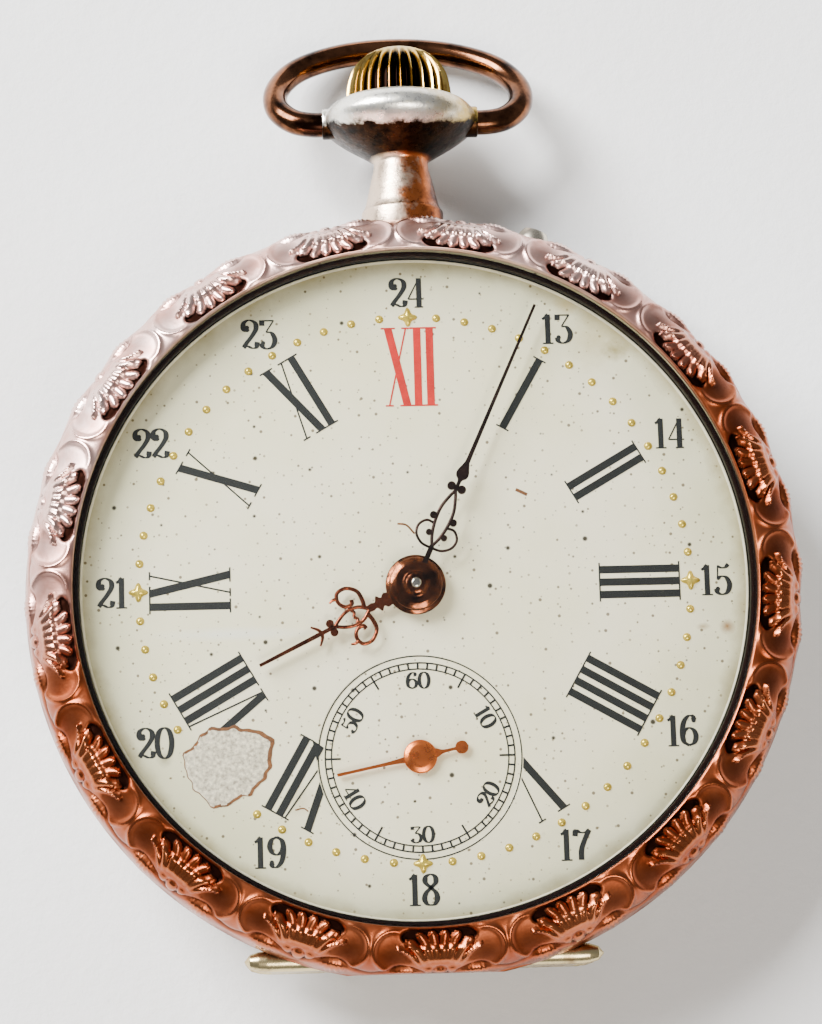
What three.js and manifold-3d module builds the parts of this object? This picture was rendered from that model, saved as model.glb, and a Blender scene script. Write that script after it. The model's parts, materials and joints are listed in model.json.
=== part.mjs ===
// Open-face fob watch: hinged case, enamel dial, hands, and a pin-set lever movement.
// Millimetres. +Z is the dial side, +Y points to 12 o'clock, and the origin is the middle of
// the flat on which the back cover rests.
import * as THREE from "three";
import { mergeVertices } from "three/addons/utils/BufferGeometryUtils.js";
import Module from "manifold-3d";

const wasm = await Module();
wasm.setup();

// ---------------------------------------------------------------- driving dimensions

const DIAL_OPENING_RADIUS = 20.4; // the hole in the bezel's seat
const BEZEL_WIDTH = 3.7;
const BEZEL_HEIGHT = 4.4;
const GLASS_THICKNESS = 0.9;
const GLASS_RISE = 0.7;
const BAND_WALL = 2.0;
const BAND_BULGE = 0.4;
const LEDGE = 0.8; // the movement's seat inside the band
const BACK_WALL = 0.55;
const BACK_FLAT_RADIUS = 8;
const CUVETTE_WALL = 0.35;
const LINER_GAP = 0.95; // between the back cover and the cuvette
const COVER_GAP = 0.05; // between a cover and the band it closes on
const SIDES = 36; // facets round the case

const HINGE_RADIUS = 0.65;
const HINGE_PIN_RADIUS = 0.3;
const HINGE_INSET = 1.5; // the hinge axis lies this far inside the bezel's edge
const HINGE_HALF_LENGTH = 10;
const HINGE_TIP = 0.9; // the pointed ends of the hinge seat
const BEZEL_KNUCKLE_HALF = 5;
const BACK_KNUCKLE_END = 6;
const CUVETTE_KNUCKLE_HALF = 2;

const NECK_BASE_RADIUS = 2.6;
const NECK_TOP_RADIUS = 1.42;
const NECK_LENGTH = 4.4;
const BALL_RADIUS = 4.9;
const BALL_HEIGHT = 3.6;
const EAR_WALL = 0.25; // the metal of the ball round each end of the bow
const CROWN_RADIUS = 3.4;
const CROWN_HEIGHT = 4.2;
const CROWN_FLUTES = 28;
const BOW_WIRE_RADIUS = 0.8;
const BOW_HALF_WIDTH = 8.0;
const BOW_REACH = 7.9;
const BOW_TILT = THREE.MathUtils.degToRad(36); // leant back until the bow meets the table
const STEM_RADIUS = 0.5;

const PLATE_THICKNESS = 1.8;
const BRIDGE_THICKNESS = 1.0;
const WHEEL_THICKNESS = 0.2;
const LEVEL_PITCH = 0.45; // from one wheel's level to the next
const MOTION_SPACE = 1.2; // between the plate and the dial
const DIAL_THICKNESS = 0.7;
const RATCHET_THICKNESS = 0.4;
const FACE_GAP = 0.1; // between a turning part and the face beside it
const PIVOT_RADIUS = 0.15;
const RUNNING_GAP = 0.05; // between a pivot or pin and its hole
const MOVEMENT_GAP = 0.2; // between the movement and the band

const SCREW_HEAD_RADIUS = 0.9;
const SCREW_HEAD_HEIGHT = 0.5;
const SCREW_SHANK_RADIUS = 0.4;

const HOUR_HAND_LENGTH = 10.8;
const MINUTE_HAND_LENGTH = 19.0;
const SECONDS_HAND_LENGTH = 5.2;
const HOUR_ANGLE = THREE.MathUtils.degToRad(-243.6); // 8:04, clockwise from 12
const MINUTE_ANGLE = THREE.MathUtils.degToRad(-24.4);
const SECONDS_ANGLE = THREE.MathUtils.degToRad(-258.6);

// Tooth counts: 64/8 x 60/8 turns the fourth wheel 60 times an hour, and
// 30/10 x 32/8 turns the hour wheel once in 12.
const BARREL = { teeth: 80, module: 0.215 };
const CENTRE = { teeth: 64, leaves: 10, module: 0.2 };
const THIRD = { teeth: 60, leaves: 8, module: 0.18 };
const FOURTH = { teeth: 60, leaves: 8, module: 0.16 };
const ESCAPE = { teeth: 15, leaves: 6, tipRadius: 2.6 };
const MOTION = { cannon: 10, minute: 30, minutePinion: 8, hour: 32, setting: 22, module: 0.17 };
const WINDING = { pinion: 20, crownWheel: 40, ratchet: 68, module: 0.205, pinionTip: 2.05 };

const SECONDS_OFFSET = 10.55; // from the centre down to the seconds arbor
const BALANCE_RADIUS = 7.0;
const PALLET_DISTANCE = 3.3; // from the escape arbor
const BALANCE_DISTANCE = 8.2; // from the escape arbor
const LEVER_LINE = THREE.MathUtils.degToRad(137); // from the escape arbor to the balance
const BARREL_DIRECTION = THREE.MathUtils.degToRad(20);
const PIN_SET_DIRECTION = THREE.MathUtils.degToRad(70); // 20 degrees past 12 o'clock
const LIP_FROM = THREE.MathUtils.degToRad(42);
const LIP_TO = THREE.MathUtils.degToRad(72);
const LIP_REACH = 1.6;

// ---------------------------------------------------------------- heights, from the back up

const cuvetteFloor = BACK_WALL + LINER_GAP;
const cuvetteTop = cuvetteFloor + CUVETTE_WALL;
const ratchetFace = cuvetteTop + 0.45;
const bridgeFace = ratchetFace + RATCHET_THICKNESS + FACE_GAP;
const bridgeInner = bridgeFace + BRIDGE_THICKNESS;
const backParting = bridgeInner - 0.2;
const thirdLevel = bridgeInner + 0.2;
const centreLevel = thirdLevel + LEVEL_PITCH;
const fourthLevel = centreLevel + LEVEL_PITCH;
const escapeLevel = fourthLevel + LEVEL_PITCH;
const plateBack = escapeLevel + WHEEL_THICKNESS + FACE_GAP;
const plateFront = plateBack + PLATE_THICKNESS;
const barrelBack = centreLevel + WHEEL_THICKNESS + 2 * FACE_GAP;
const barrelFront = plateFront - 0.3;
const dialBack = plateFront + MOTION_SPACE;
const dialFront = dialBack + DIAL_THICKNESS;
const bezelParting = plateFront - 0.25;
const secondsHandLevel = dialFront + 0.25;
const hourHandLevel = secondsHandLevel + 0.3;
const minuteHandLevel = hourHandLevel + 0.55;
const handThickness = 0.12;
const stemLevel = plateBack;
const bezelTop = bezelParting + COVER_GAP + BEZEL_HEIGHT;
const glassSeat = bezelTop - 1.15;

// ---------------------------------------------------------------- radii and places

const seatRadius = DIAL_OPENING_RADIUS;
const glassRadius = seatRadius + 0.5;
const bezelRadius = seatRadius + BEZEL_WIDTH;
const bandInner = seatRadius + 1.0;
const ledgeRadius = bandInner - LEDGE;
const plateRadius = bandInner - MOVEMENT_GAP;
const bridgeRadius = ledgeRadius - 0.7;
const bandOuter = bandInner + BAND_WALL;
const hingeY = -(bezelRadius - HINGE_INSET);
const pivotBore = PIVOT_RADIUS + RUNNING_GAP;

const polar = (radius, angle, from = new THREE.Vector2()) =>
  new THREE.Vector2(from.x + radius * Math.cos(angle), from.y + radius * Math.sin(angle));
const pitchRadius = (count, module) => (count * module) / 2;
const spacing = (a, b, module) => pitchRadius(a + b, module);

const centreAt = new THREE.Vector2(0, 0);
const fourthAt = new THREE.Vector2(0, -SECONDS_OFFSET);
const barrelAt = polar(spacing(BARREL.teeth, CENTRE.leaves, BARREL.module), BARREL_DIRECTION);
const thirdAt = meetingPoint(
  centreAt,
  spacing(CENTRE.teeth, THIRD.leaves, CENTRE.module),
  fourthAt,
  spacing(THIRD.teeth, FOURTH.leaves, THIRD.module),
);
const escapeAt = polar(spacing(FOURTH.teeth, ESCAPE.leaves, FOURTH.module), Math.PI, fourthAt);
const palletAt = polar(PALLET_DISTANCE, LEVER_LINE, escapeAt);
const balanceAt = polar(BALANCE_DISTANCE, LEVER_LINE, escapeAt);
const minuteWheelAt = new THREE.Vector2(0, spacing(MOTION.cannon, MOTION.minute, MOTION.module));
const settingWheelAt = new THREE.Vector2(
  0,
  minuteWheelAt.y + spacing(MOTION.minute, MOTION.setting, MOTION.module),
);
const windingSpacing = spacing(WINDING.crownWheel, WINDING.ratchet, WINDING.module);
const crownWheelAt = new THREE.Vector2(
  0,
  barrelAt.y + Math.sqrt(windingSpacing ** 2 - barrelAt.x ** 2),
);
const ratchetTip = pitchRadius(WINDING.ratchet, WINDING.module) + 0.9 * WINDING.module;
const clickAt = polar(ratchetTip + 1.5, THREE.MathUtils.degToRad(75), barrelAt);
const cockFootAt = polar(bridgeRadius - 2.6, THREE.MathUtils.degToRad(238));
const bridgeScrewsAt = [45, 140, -35, -80].map((degrees) =>
  polar(bridgeRadius - 0.75, THREE.MathUtils.degToRad(degrees)),
);
const caseScrewsAt = [-8, 172].map((degrees) =>
  polar(ledgeRadius - 0.6, THREE.MathUtils.degToRad(degrees)),
);
const dialFeetAt = [100, 205, 335].map((degrees) =>
  polar(plateRadius - 1.6, THREE.MathUtils.degToRad(degrees)),
);
const settingLeverAt = polar(18.3, THREE.MathUtils.degToRad(55));
const pinSetLevel = bridgeInner + 1.0;
const windingPinionY = crownWheelAt.y + pitchRadius(WINDING.crownWheel, WINDING.module);
const neckBase = bandOuter + BAND_BULGE * 0.5 + 0.45;
const bowAxisY = neckBase + NECK_LENGTH + 2.35;

// The point at distance ra from a and rb from b, on the right-hand side.
function meetingPoint(a, ra, b, rb) {
  const apart = a.distanceTo(b);
  const along = (ra ** 2 - rb ** 2 + apart ** 2) / (2 * apart);
  const across = Math.sqrt(ra ** 2 - along ** 2);
  const unit = b.clone().sub(a).divideScalar(apart);
  return new THREE.Vector2(
    a.x + unit.x * along - unit.y * across,
    a.y + unit.y * along + unit.x * across,
  );
}

// The turn that puts gear b in mesh with gear a, whose first tooth is turned by phaseA.
function meshPhase(a, teethA, phaseA, b, teethB) {
  const line = Math.atan2(b.y - a.y, b.x - a.x);
  const shareA = ((line - phaseA) * teethA) / (2 * Math.PI);
  return line + Math.PI - ((0.5 - shareA) * 2 * Math.PI) / teethB;
}

// ---------------------------------------------------------------- solids and booleans

// A closed geometry as a solid. Faces that collapsed at a pole are dropped, and an inside-out
// shape is turned round.
function solidOf(geometry) {
  const source = geometry.index ? geometry.toNonIndexed() : geometry;
  const bare = new THREE.BufferGeometry();
  bare.setAttribute("position", source.getAttribute("position"));
  const merged = mergeVertices(bare, 1e-4);
  const position = merged.attributes.position;
  const index = merged.index.array;
  const kept = [];
  const [a, b, c] = [new THREE.Vector3(), new THREE.Vector3(), new THREE.Vector3()];
  let volume = 0;
  for (let i = 0; i < index.length; i += 3) {
    const face = [index[i], index[i + 1], index[i + 2]];
    if (new Set(face).size < 3) continue;
    kept.push(face);
    a.fromBufferAttribute(position, face[0]);
    b.fromBufferAttribute(position, face[1]);
    c.fromBufferAttribute(position, face[2]);
    volume += a.dot(b.cross(c));
  }
  if (volume < 0) kept.forEach((face) => face.reverse());
  const mesh = new wasm.Mesh({
    numProp: 3,
    vertProperties: position.array,
    triVerts: new Uint32Array(kept.flat()),
  });
  return new wasm.Manifold(mesh);
}

function geometryOf(solid) {
  const mesh = solid.getMesh();
  const geometry = new THREE.BufferGeometry();
  geometry.setAttribute("position", new THREE.BufferAttribute(mesh.vertProperties, 3));
  geometry.setIndex(new THREE.BufferAttribute(mesh.triVerts, 1));
  return geometry;
}

const combine = (method) => (first, ...others) =>
  geometryOf(others.reduce((sum, other) => sum[method](solidOf(other)), solidOf(first)));
const join = combine("add");
const cut = combine("subtract");
const meet = combine("intersect");

// A cylinder along Z at a point of the plane, from one height to another.
function disc(radius, low, high, at = centreAt, sides = 16) {
  return new THREE.CylinderGeometry(radius, radius, high - low, sides)
    .rotateX(Math.PI / 2)
    .translate(at.x, at.y, (low + high) / 2);
}

// A cylinder along X, as hinge knuckles and pins are.
function barAlongX(radius, from, to, y, z, sides = 12) {
  return new THREE.CylinderGeometry(radius, radius, to - from, sides)
    .rotateZ(Math.PI / 2)
    .translate((from + to) / 2, y, z);
}

// A cylinder along Y, as the stem is.
function barAlongY(radius, from, to, z = stemLevel, sides = 12) {
  return new THREE.CylinderGeometry(radius, radius, to - from, sides).translate(
    0,
    (from + to) / 2,
    z,
  );
}

function block(xs, ys, zs) {
  return new THREE.BoxGeometry(xs[1] - xs[0], ys[1] - ys[0], zs[1] - zs[0]).translate(
    (xs[0] + xs[1]) / 2,
    (ys[0] + ys[1]) / 2,
    (zs[0] + zs[1]) / 2,
  );
}

// A profile of [radius, height] pairs turned round Z.
function turned(profile, sides = SIDES) {
  return turnedAlongY(profile, sides).rotateX(Math.PI / 2);
}

// A profile of [radius, distance] pairs turned round Y.
function turnedAlongY(profile, sides = 24) {
  return new THREE.LatheGeometry(
    profile.map(([r, y]) => new THREE.Vector2(r, y)),
    sides,
  );
}

const closed = (profile) => [...profile, profile[0]];

function plate(shape, low, high, curveSegments = 8) {
  const settings = { depth: high - low, bevelEnabled: false, curveSegments };
  return new THREE.ExtrudeGeometry(shape, settings).translate(0, 0, low);
}

// A bar with round ends between two points, as levers and cocks have.
function link(a, radiusA, b, radiusB) {
  const line = Math.atan2(b.y - a.y, b.x - a.x);
  const lean = Math.acos((radiusA - radiusB) / a.distanceTo(b));
  const shape = new THREE.Shape();
  shape.absarc(a.x, a.y, radiusA, line + lean, line - lean + 2 * Math.PI, false);
  shape.absarc(b.x, b.y, radiusB, line - lean, line + lean, false);
  return shape;
}

function ringSector(inner, outer, from, to) {
  const shape = new THREE.Shape();
  shape.absarc(0, 0, outer, from, to, false);
  shape.absarc(0, 0, inner, to, from, true);
  return shape;
}

const hole = (radius, at = centreAt) => new THREE.Path().absarc(at.x, at.y, radius, 0, 2 * Math.PI);

// A toothed outline. rootShare and tipShare are a tooth's width at its root and its tip, as
// shares of the pitch.
function toothedShape(teeth, rootRadius, tipRadius, rootShare, tipShare, phase = 0, rake = 0) {
  const pitch = (2 * Math.PI) / teeth;
  const points = [];
  for (let i = 0; i < teeth; i++) {
    const middle = phase + i * pitch;
    points.push(polar(rootRadius, middle - (rootShare * pitch) / 2));
    points.push(polar(tipRadius, middle + (rake - tipShare / 2) * pitch));
    points.push(polar(tipRadius, middle + (rake + tipShare / 2) * pitch));
    points.push(polar(rootRadius, middle + (rootShare * pitch) / 2));
  }
  return new THREE.Shape(points);
}

// The outline of a wheel with pointed teeth, which meet in a notch.
function pointedShape(teeth, module, phase) {
  const pitch = pitchRadius(teeth, module);
  const points = [];
  for (let i = 0; i < teeth; i++) {
    const middle = phase + (i * 2 * Math.PI) / teeth;
    points.push(polar(pitch + 0.9 * module, middle));
    points.push(polar(pitch - 1.3 * module, middle + Math.PI / teeth));
  }
  return new THREE.Shape(points);
}

// A train wheel: pointed teeth, a rim, and arms.
function wheel({ teeth, module, bore, low, high, phase, arms = 0 }) {
  const shape = pointedShape(teeth, module, phase);
  shape.holes.push(hole(bore));
  const rim = pitchRadius(teeth, module) - 1.3 * module - 0.55;
  const hub = bore + 0.55;
  for (let i = 0; i < arms; i++) {
    const from = ((i + 0.11) * 2 * Math.PI) / arms;
    const to = ((i + 0.89) * 2 * Math.PI) / arms;
    const opening = new THREE.Path();
    opening.absarc(0, 0, rim, from, to, false);
    opening.absarc(0, 0, hub, to - 0.2, from + 0.2, true);
    shape.holes.push(opening);
  }
  return plate(shape, low, high, 4);
}

function pinionShape(leaves, module, phase) {
  const pitch = pitchRadius(leaves, module);
  return toothedShape(leaves, pitch - 1.3 * module, pitch + 0.7 * module, 0.42, 0.12, phase);
}

// A pinion cut on its arbor, with a pivot at each end.
function pinionArbor({ leaves, module, low, high, phase, arborRadius, from, to, shoulders }) {
  const [lower, upper] = shoulders;
  const arbor = turned(
    [
      [0, from],
      [PIVOT_RADIUS, from],
      [PIVOT_RADIUS, lower],
      [arborRadius, lower],
      [arborRadius, upper],
      [PIVOT_RADIUS, upper],
      [PIVOT_RADIUS, to],
      [0, to],
    ],
    10,
  );
  return join(arbor, plate(pinionShape(leaves, module, phase), low, high));
}

function screw(headRadius, headHeight, shankRadius, length) {
  const body = turned(
    [
      [0, 0],
      [headRadius, 0],
      [headRadius, headHeight],
      [shankRadius, headHeight],
      [shankRadius, length],
      [0, length],
    ],
    10,
  );
  const slot = block([-headRadius, headRadius], [-0.11, 0.11], [-0.1, headHeight * 0.4]);
  return cut(body, slot);
}

// ---------------------------------------------------------------- materials

const finish = (color, roughness, metalness) => () =>
  new THREE.MeshStandardMaterial({ color, roughness, metalness });
const roseGold = finish(0xc4785a, 0.3, 1);
const silver = finish(0xc9c2b6, 0.35, 1);
const brass = finish(0xc9a45c, 0.35, 1);
const gilt = finish(0xd6b36a, 0.3, 1);
const steel = finish(0x9a9ca0, 0.25, 1);
const copper = finish(0xb06a4a, 0.4, 1);
const enamel = finish(0xe9e6d6, 0.2, 0);
const glass = () =>
  new THREE.MeshStandardMaterial({ color: 0xf2f6f4, transparent: true, opacity: 0.25 });

const watch = new THREE.Group();

function addPart(name, geometry, material, at = centreAt, height = 0) {
  const mesh = new THREE.Mesh(geometry, material());
  mesh.name = name;
  mesh.position.set(at.x, at.y, height);
  watch.add(mesh);
  return mesh;
}

// ---------------------------------------------------------------- case

const clearOfKnuckle = HINGE_RADIUS + 0.1;
const knuckleGap = 0.05;

function caseBand() {
  const [low, high] = [backParting, bezelParting];
  const edge = bandOuter - 0.2;
  const shell = turned(
    closed([
      [bandInner, low],
      [edge, low],
      [bandOuter + BAND_BULGE * 0.25, low + 1],
      [bandOuter + BAND_BULGE * 0.5, (low + high) / 2],
      [bandOuter + BAND_BULGE * 0.25, high - 1],
      [edge, high],
      [bandInner, high],
    ]),
  );
  const ledge = turned(
    closed([
      [ledgeRadius, low + 0.3],
      [bandInner + 0.1, low + 0.3],
      [bandInner + 0.1, plateBack - FACE_GAP],
      [ledgeRadius, plateBack - FACE_GAP],
    ]),
  );
  const seat = new THREE.Shape([
    new THREE.Vector2(-HINGE_HALF_LENGTH - HINGE_TIP, hingeY + 0.15),
    new THREE.Vector2(-HINGE_HALF_LENGTH, hingeY - HINGE_RADIUS),
    new THREE.Vector2(HINGE_HALF_LENGTH, hingeY - HINGE_RADIUS),
    new THREE.Vector2(HINGE_HALF_LENGTH + HINGE_TIP, hingeY + 0.15),
    new THREE.Vector2(HINGE_HALF_LENGTH - 0.4, hingeY + 2.4),
    new THREE.Vector2(-HINGE_HALF_LENGTH + 0.4, hingeY + 2.4),
  ]);
  const hingeSeat = cut(plate(seat, low, high), disc(bandInner + 0.5, 0, 20, centreAt, SIDES));
  const guard = pinSetTube(1.1, bandInner + 0.6, bezelRadius + 0.5);
  let band = join(shell, ledge, hingeSeat, guard);
  band = cut(
    band,
    block(
      [-BEZEL_KNUCKLE_HALF - knuckleGap, BEZEL_KNUCKLE_HALF + knuckleGap],
      [hingeY - 2, hingeY + 0.4],
      [high - 1.2, high + 1],
    ),
    block([-8, 8], [hingeY - 2, hingeY - 0.3], [high - 0.9, high + 1]),
    block([-8, 8], [hingeY - 2, hingeY - 0.3], [low - 1, low + 0.9]),
    barAlongX(clearOfKnuckle, -BEZEL_KNUCKLE_HALF - knuckleGap, BEZEL_KNUCKLE_HALF + knuckleGap, hingeY, high),
    barAlongX(clearOfKnuckle, -BACK_KNUCKLE_END - knuckleGap, BACK_KNUCKLE_END + knuckleGap, hingeY, low),
  );
  const knuckle = (from, to, z) => barAlongX(HINGE_RADIUS, from, to, hingeY, z);
  const front = BEZEL_KNUCKLE_HALF + knuckleGap;
  const rear = BACK_KNUCKLE_END + knuckleGap;
  band = join(
    band,
    knuckle(front, HINGE_HALF_LENGTH, high),
    knuckle(-HINGE_HALF_LENGTH, -front, high),
    knuckle(rear, HINGE_HALF_LENGTH, low),
    knuckle(-HINGE_HALF_LENGTH, -rear, low),
  );
  const pinBore = HINGE_PIN_RADIUS + RUNNING_GAP;
  const past = HINGE_HALF_LENGTH + 2;
  return cut(
    band,
    barAlongX(pinBore, -past, past, hingeY, high, 10),
    barAlongX(pinBore, -past, past, hingeY, low, 10),
    barAlongY(STEM_RADIUS + 0.2, bandInner - 3, bandOuter + 3),
    pinSetTube(0.5, bandInner - 3, bezelRadius + 3),
  );
}

// A cylinder along the pin-set pusher's axis, between two radii of the case.
function pinSetTube(radius, from, to, sides = 12) {
  return new THREE.CylinderGeometry(radius, radius, to - from, sides)
    .translate(0, (from + to) / 2, 0)
    .rotateZ(PIN_SET_DIRECTION - Math.PI / 2)
    .translate(0, 0, pinSetLevel);
}

function bezel() {
  const low = bezelParting + COVER_GAP;
  const ring = turned(
    closed([
      [bezelRadius - 0.1, low],
      [bezelRadius, low + 0.5],
      [bezelRadius - 0.12, low + 1.4],
      [bezelRadius - 0.5, bezelTop - 1.8],
      [bezelRadius - 1.15, bezelTop - 0.8],
      [bezelRadius - 2.0, bezelTop - 0.2],
      [bezelRadius - 2.85, bezelTop],
      [glassRadius + 0.05, bezelTop - 0.15],
      [glassRadius + 0.05, glassSeat],
      [seatRadius, glassSeat],
      [seatRadius, dialFront + 0.4],
      [bandInner + 0.1, dialFront + 0.4],
      [bandInner + 0.1, low],
    ]),
  );
  const chord = block([-8, 8], [hingeY - 3, hingeY - 1.0], [0, 20]);
  const underCut = block([-11, 11], [hingeY - 3, hingeY - HINGE_RADIUS], [0, bezelParting + 0.9]);
  const front = BEZEL_KNUCKLE_HALF + knuckleGap;
  const past = HINGE_HALF_LENGTH + 2;
  const ringCut = cut(
    ring,
    chord,
    underCut,
    barAlongY(NECK_BASE_RADIUS + 0.15, bandOuter - 0.5, bezelRadius + 1, stemLevel, 20),
    barAlongX(clearOfKnuckle, front - knuckleGap, past, hingeY, bezelParting),
    barAlongX(clearOfKnuckle, -past, -front + knuckleGap, hingeY, bezelParting),
  );
  const knuckle = barAlongX(
    HINGE_RADIUS,
    -BEZEL_KNUCKLE_HALF,
    BEZEL_KNUCKLE_HALF,
    hingeY,
    bezelParting,
  );
  const bore = barAlongX(HINGE_PIN_RADIUS + RUNNING_GAP, -past, past, hingeY, bezelParting, 10);
  return cut(join(ringCut, knuckle), bore);
}

function crystal() {
  const low = glassSeat + RUNNING_GAP;
  return turned([
    [0, low + GLASS_RISE],
    [glassRadius * 0.55, low + GLASS_RISE * 0.72],
    [glassRadius - 0.9, low + 0.06],
    [glassRadius, low],
    [glassRadius, low + GLASS_THICKNESS - 0.15],
    [glassRadius - 0.5, low + GLASS_THICKNESS + 0.1],
    [glassRadius * 0.55, low + GLASS_THICKNESS + GLASS_RISE * 0.75],
    [0, low + GLASS_THICKNESS + GLASS_RISE],
  ]);
}

function backCover() {
  const top = backParting - COVER_GAP;
  const rim = bandOuter;
  const outer = [
    [0, 0],
    [BACK_FLAT_RADIUS, 0],
    [rim - 5.4, 0.4],
    [rim - 3.2, 0.8],
    [rim - 1.3, 1.55],
    [rim - 0.3, 2.5],
    [rim, top - 0.3],
    [rim, top],
  ];
  const inner = [
    [rim - 0.6, top],
    [rim - 0.8, 2.7],
    [rim - 1.6, 1.45 + BACK_WALL],
    [rim - 3.4, 0.75 + BACK_WALL],
    [rim - 5.6, 0.4 + BACK_WALL],
    [0, BACK_WALL],
  ];
  const shell = turned([...outer, ...inner]);
  const lip = new THREE.Shape();
  const lipMiddle = (LIP_FROM + LIP_TO) / 2;
  lip.moveTo(...polar(rim - 0.4, LIP_TO).toArray());
  lip.absarc(0, 0, rim - 0.4, LIP_TO, LIP_FROM, true);
  lip.quadraticCurveTo(
    ...polar(rim + 2 * LIP_REACH, lipMiddle).toArray(),
    ...polar(rim - 0.4, LIP_TO).toArray(),
  );
  const half = CUVETTE_KNUCKLE_HALF + knuckleGap;
  const notched = cut(
    join(shell, plate(lip, top - 0.55, top, 12)),
    block([-half, half], [hingeY - 2, -bandInner + 1], [top - 0.65, top + 1]),
    barAlongX(clearOfKnuckle, -half, half, hingeY, backParting),
    barAlongX(clearOfKnuckle, BACK_KNUCKLE_END, 20, hingeY, backParting),
    barAlongX(clearOfKnuckle, -20, -BACK_KNUCKLE_END, hingeY, backParting),
  );
  const bore = barAlongX(HINGE_PIN_RADIUS + RUNNING_GAP, -20, 20, hingeY, backParting, 10);
  return cut(
    join(
      notched,
      barAlongX(HINGE_RADIUS, half, BACK_KNUCKLE_END, hingeY, backParting),
      barAlongX(HINGE_RADIUS, -BACK_KNUCKLE_END, -half, hingeY, backParting),
    ),
    bore,
  );
}

function cuvette() {
  const top = backParting - 0.15;
  const rim = bandInner - 0.2;
  const shell = turned([
    [0, cuvetteFloor],
    [rim - 3.4, cuvetteFloor + 0.1],
    [rim - 1.2, cuvetteFloor + 0.4],
    [rim, cuvetteFloor + 1.1],
    [rim, top],
    [rim - CUVETTE_WALL, top],
    [rim - CUVETTE_WALL, cuvetteFloor + 1.25],
    [rim - 1.4, cuvetteFloor + 0.4 + CUVETTE_WALL],
    [rim - 3.6, cuvetteFloor + 0.1 + CUVETTE_WALL],
    [0, cuvetteTop],
  ]);
  const half = CUVETTE_KNUCKLE_HALF;
  const tab = block([-half + 0.1, half - 0.1], [hingeY, -rim + 0.4], [top - 0.35, top]);
  const knuckle = barAlongX(HINGE_RADIUS, -half, half, hingeY, backParting);
  const bore = barAlongX(HINGE_PIN_RADIUS + RUNNING_GAP, -20, 20, hingeY, backParting, 10);
  return cut(join(shell, tab, knuckle), bore);
}

function pendant() {
  const ballMiddle = bowAxisY;
  const top = ballMiddle + BALL_HEIGHT * 0.42;
  const body = turnedAlongY([
    [0, bandOuter - 0.3],
    [NECK_BASE_RADIUS, bandOuter - 0.3],
    [NECK_BASE_RADIUS, neckBase + 0.35],
    [NECK_BASE_RADIUS - 0.25, neckBase + 0.6],
    [NECK_TOP_RADIUS, neckBase + NECK_LENGTH - 0.6],
    [BALL_RADIUS * 0.62, ballMiddle - BALL_HEIGHT * 0.42],
    [BALL_RADIUS * 0.9, ballMiddle - BALL_HEIGHT * 0.22],
    [BALL_RADIUS, ballMiddle + 0.1],
    [BALL_RADIUS * 0.95, ballMiddle + BALL_HEIGHT * 0.2],
    [BALL_RADIUS * 0.78, top],
    [CROWN_RADIUS + 0.15, top],
    [CROWN_RADIUS + 0.15, top - 1.0],
    [0, top - 1.0],
  ]).translate(0, 0, stemLevel);
  const socket = (side) =>
    barAlongX(
      BOW_WIRE_RADIUS + RUNNING_GAP,
      side > 0 ? BALL_RADIUS - 1 : -BALL_RADIUS - 1,
      side > 0 ? BALL_RADIUS + 1 : -BALL_RADIUS + 1,
      bowAxisY,
      stemLevel,
    );
  const ear = (from, to) => barAlongX(BOW_WIRE_RADIUS + EAR_WALL, from, to, bowAxisY, stemLevel);
  const caseClearance = disc(bandOuter + BAND_BULGE * 0.5 + RUNNING_GAP, 0, 20, centreAt, SIDES * 2);
  return cut(
    join(body, ear(3.9, BALL_RADIUS), ear(-BALL_RADIUS, -3.9)),
    caseClearance,
    barAlongY(CROWN_RADIUS + 0.15, top - 1.0, top + 1, stemLevel, 28),
    socket(1),
    socket(-1),
    barAlongY(STEM_RADIUS + 0.1, bandOuter - 2, top + 1),
  );
}

// The bow's centre line in its own plane: out of the ball, round, and over the crown.
function bowLine() {
  const w = BOW_HALF_WIDTH;
  const h = BOW_REACH;
  const side = [
    [BALL_RADIUS - 0.9, 0],
    [BALL_RADIUS + 0.4, 0],
    [w * 0.88, h * 0.08],
    [w * 0.98, h * 0.23],
    [w * 0.995, h * 0.42],
    [w * 0.915, h * 0.63],
    [w * 0.72, h * 0.82],
    [w * 0.42, h * 0.95],
    [0, h],
  ];
  const mirrored = side.slice(0, -1).map(([x, y]) => [-x, y]);
  const points = [...mirrored, ...side.reverse()];
  return points.map(([x, y]) => new THREE.Vector3(x, y, 0));
}

function bow() {
  const line = new THREE.CatmullRomCurve3(bowLine(), false, "centripetal");
  const section = new THREE.Shape(
    Array.from({ length: 8 }, (_, i) => polar(BOW_WIRE_RADIUS, (i / 8) * 2 * Math.PI)),
  );
  const settings = { steps: 36, extrudePath: line, bevelEnabled: false };
  return geometryOf(solidOf(new THREE.ExtrudeGeometry(section, settings)));
}

function crown() {
  const low = bowAxisY + BALL_HEIGHT * 0.42 - 0.9;
  const top = low + CROWN_HEIGHT + 0.1;
  const profile = [
    [0, low],
    [CROWN_RADIUS - 0.1, low],
    [CROWN_RADIUS, low + 0.35],
    [CROWN_RADIUS, low + CROWN_HEIGHT * 0.5],
    [CROWN_RADIUS * 0.86, low + CROWN_HEIGHT * 0.82],
    [CROWN_RADIUS * 0.55, top],
    [0, top],
  ];
  const body = turnedAlongY(profile, 2 * CROWN_FLUTES);
  const position = body.getAttribute("position");
  for (let i = 0; i < position.count; i++) {
    const [x, z] = [position.getX(i), position.getZ(i)];
    const turn = (Math.atan2(z, x) * 2 * CROWN_FLUTES) / (2 * Math.PI);
    const share = Math.abs(Math.round(turn)) % 2 ? 0.92 : 1;
    position.setX(i, x * share);
    position.setZ(i, z * share);
  }
  const bored = cut(
    body.translate(0, 0, stemLevel),
    barAlongY(STEM_RADIUS + 0.02, low - 1, low + CROWN_HEIGHT * 0.6),
  );
  return bored;
}

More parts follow.
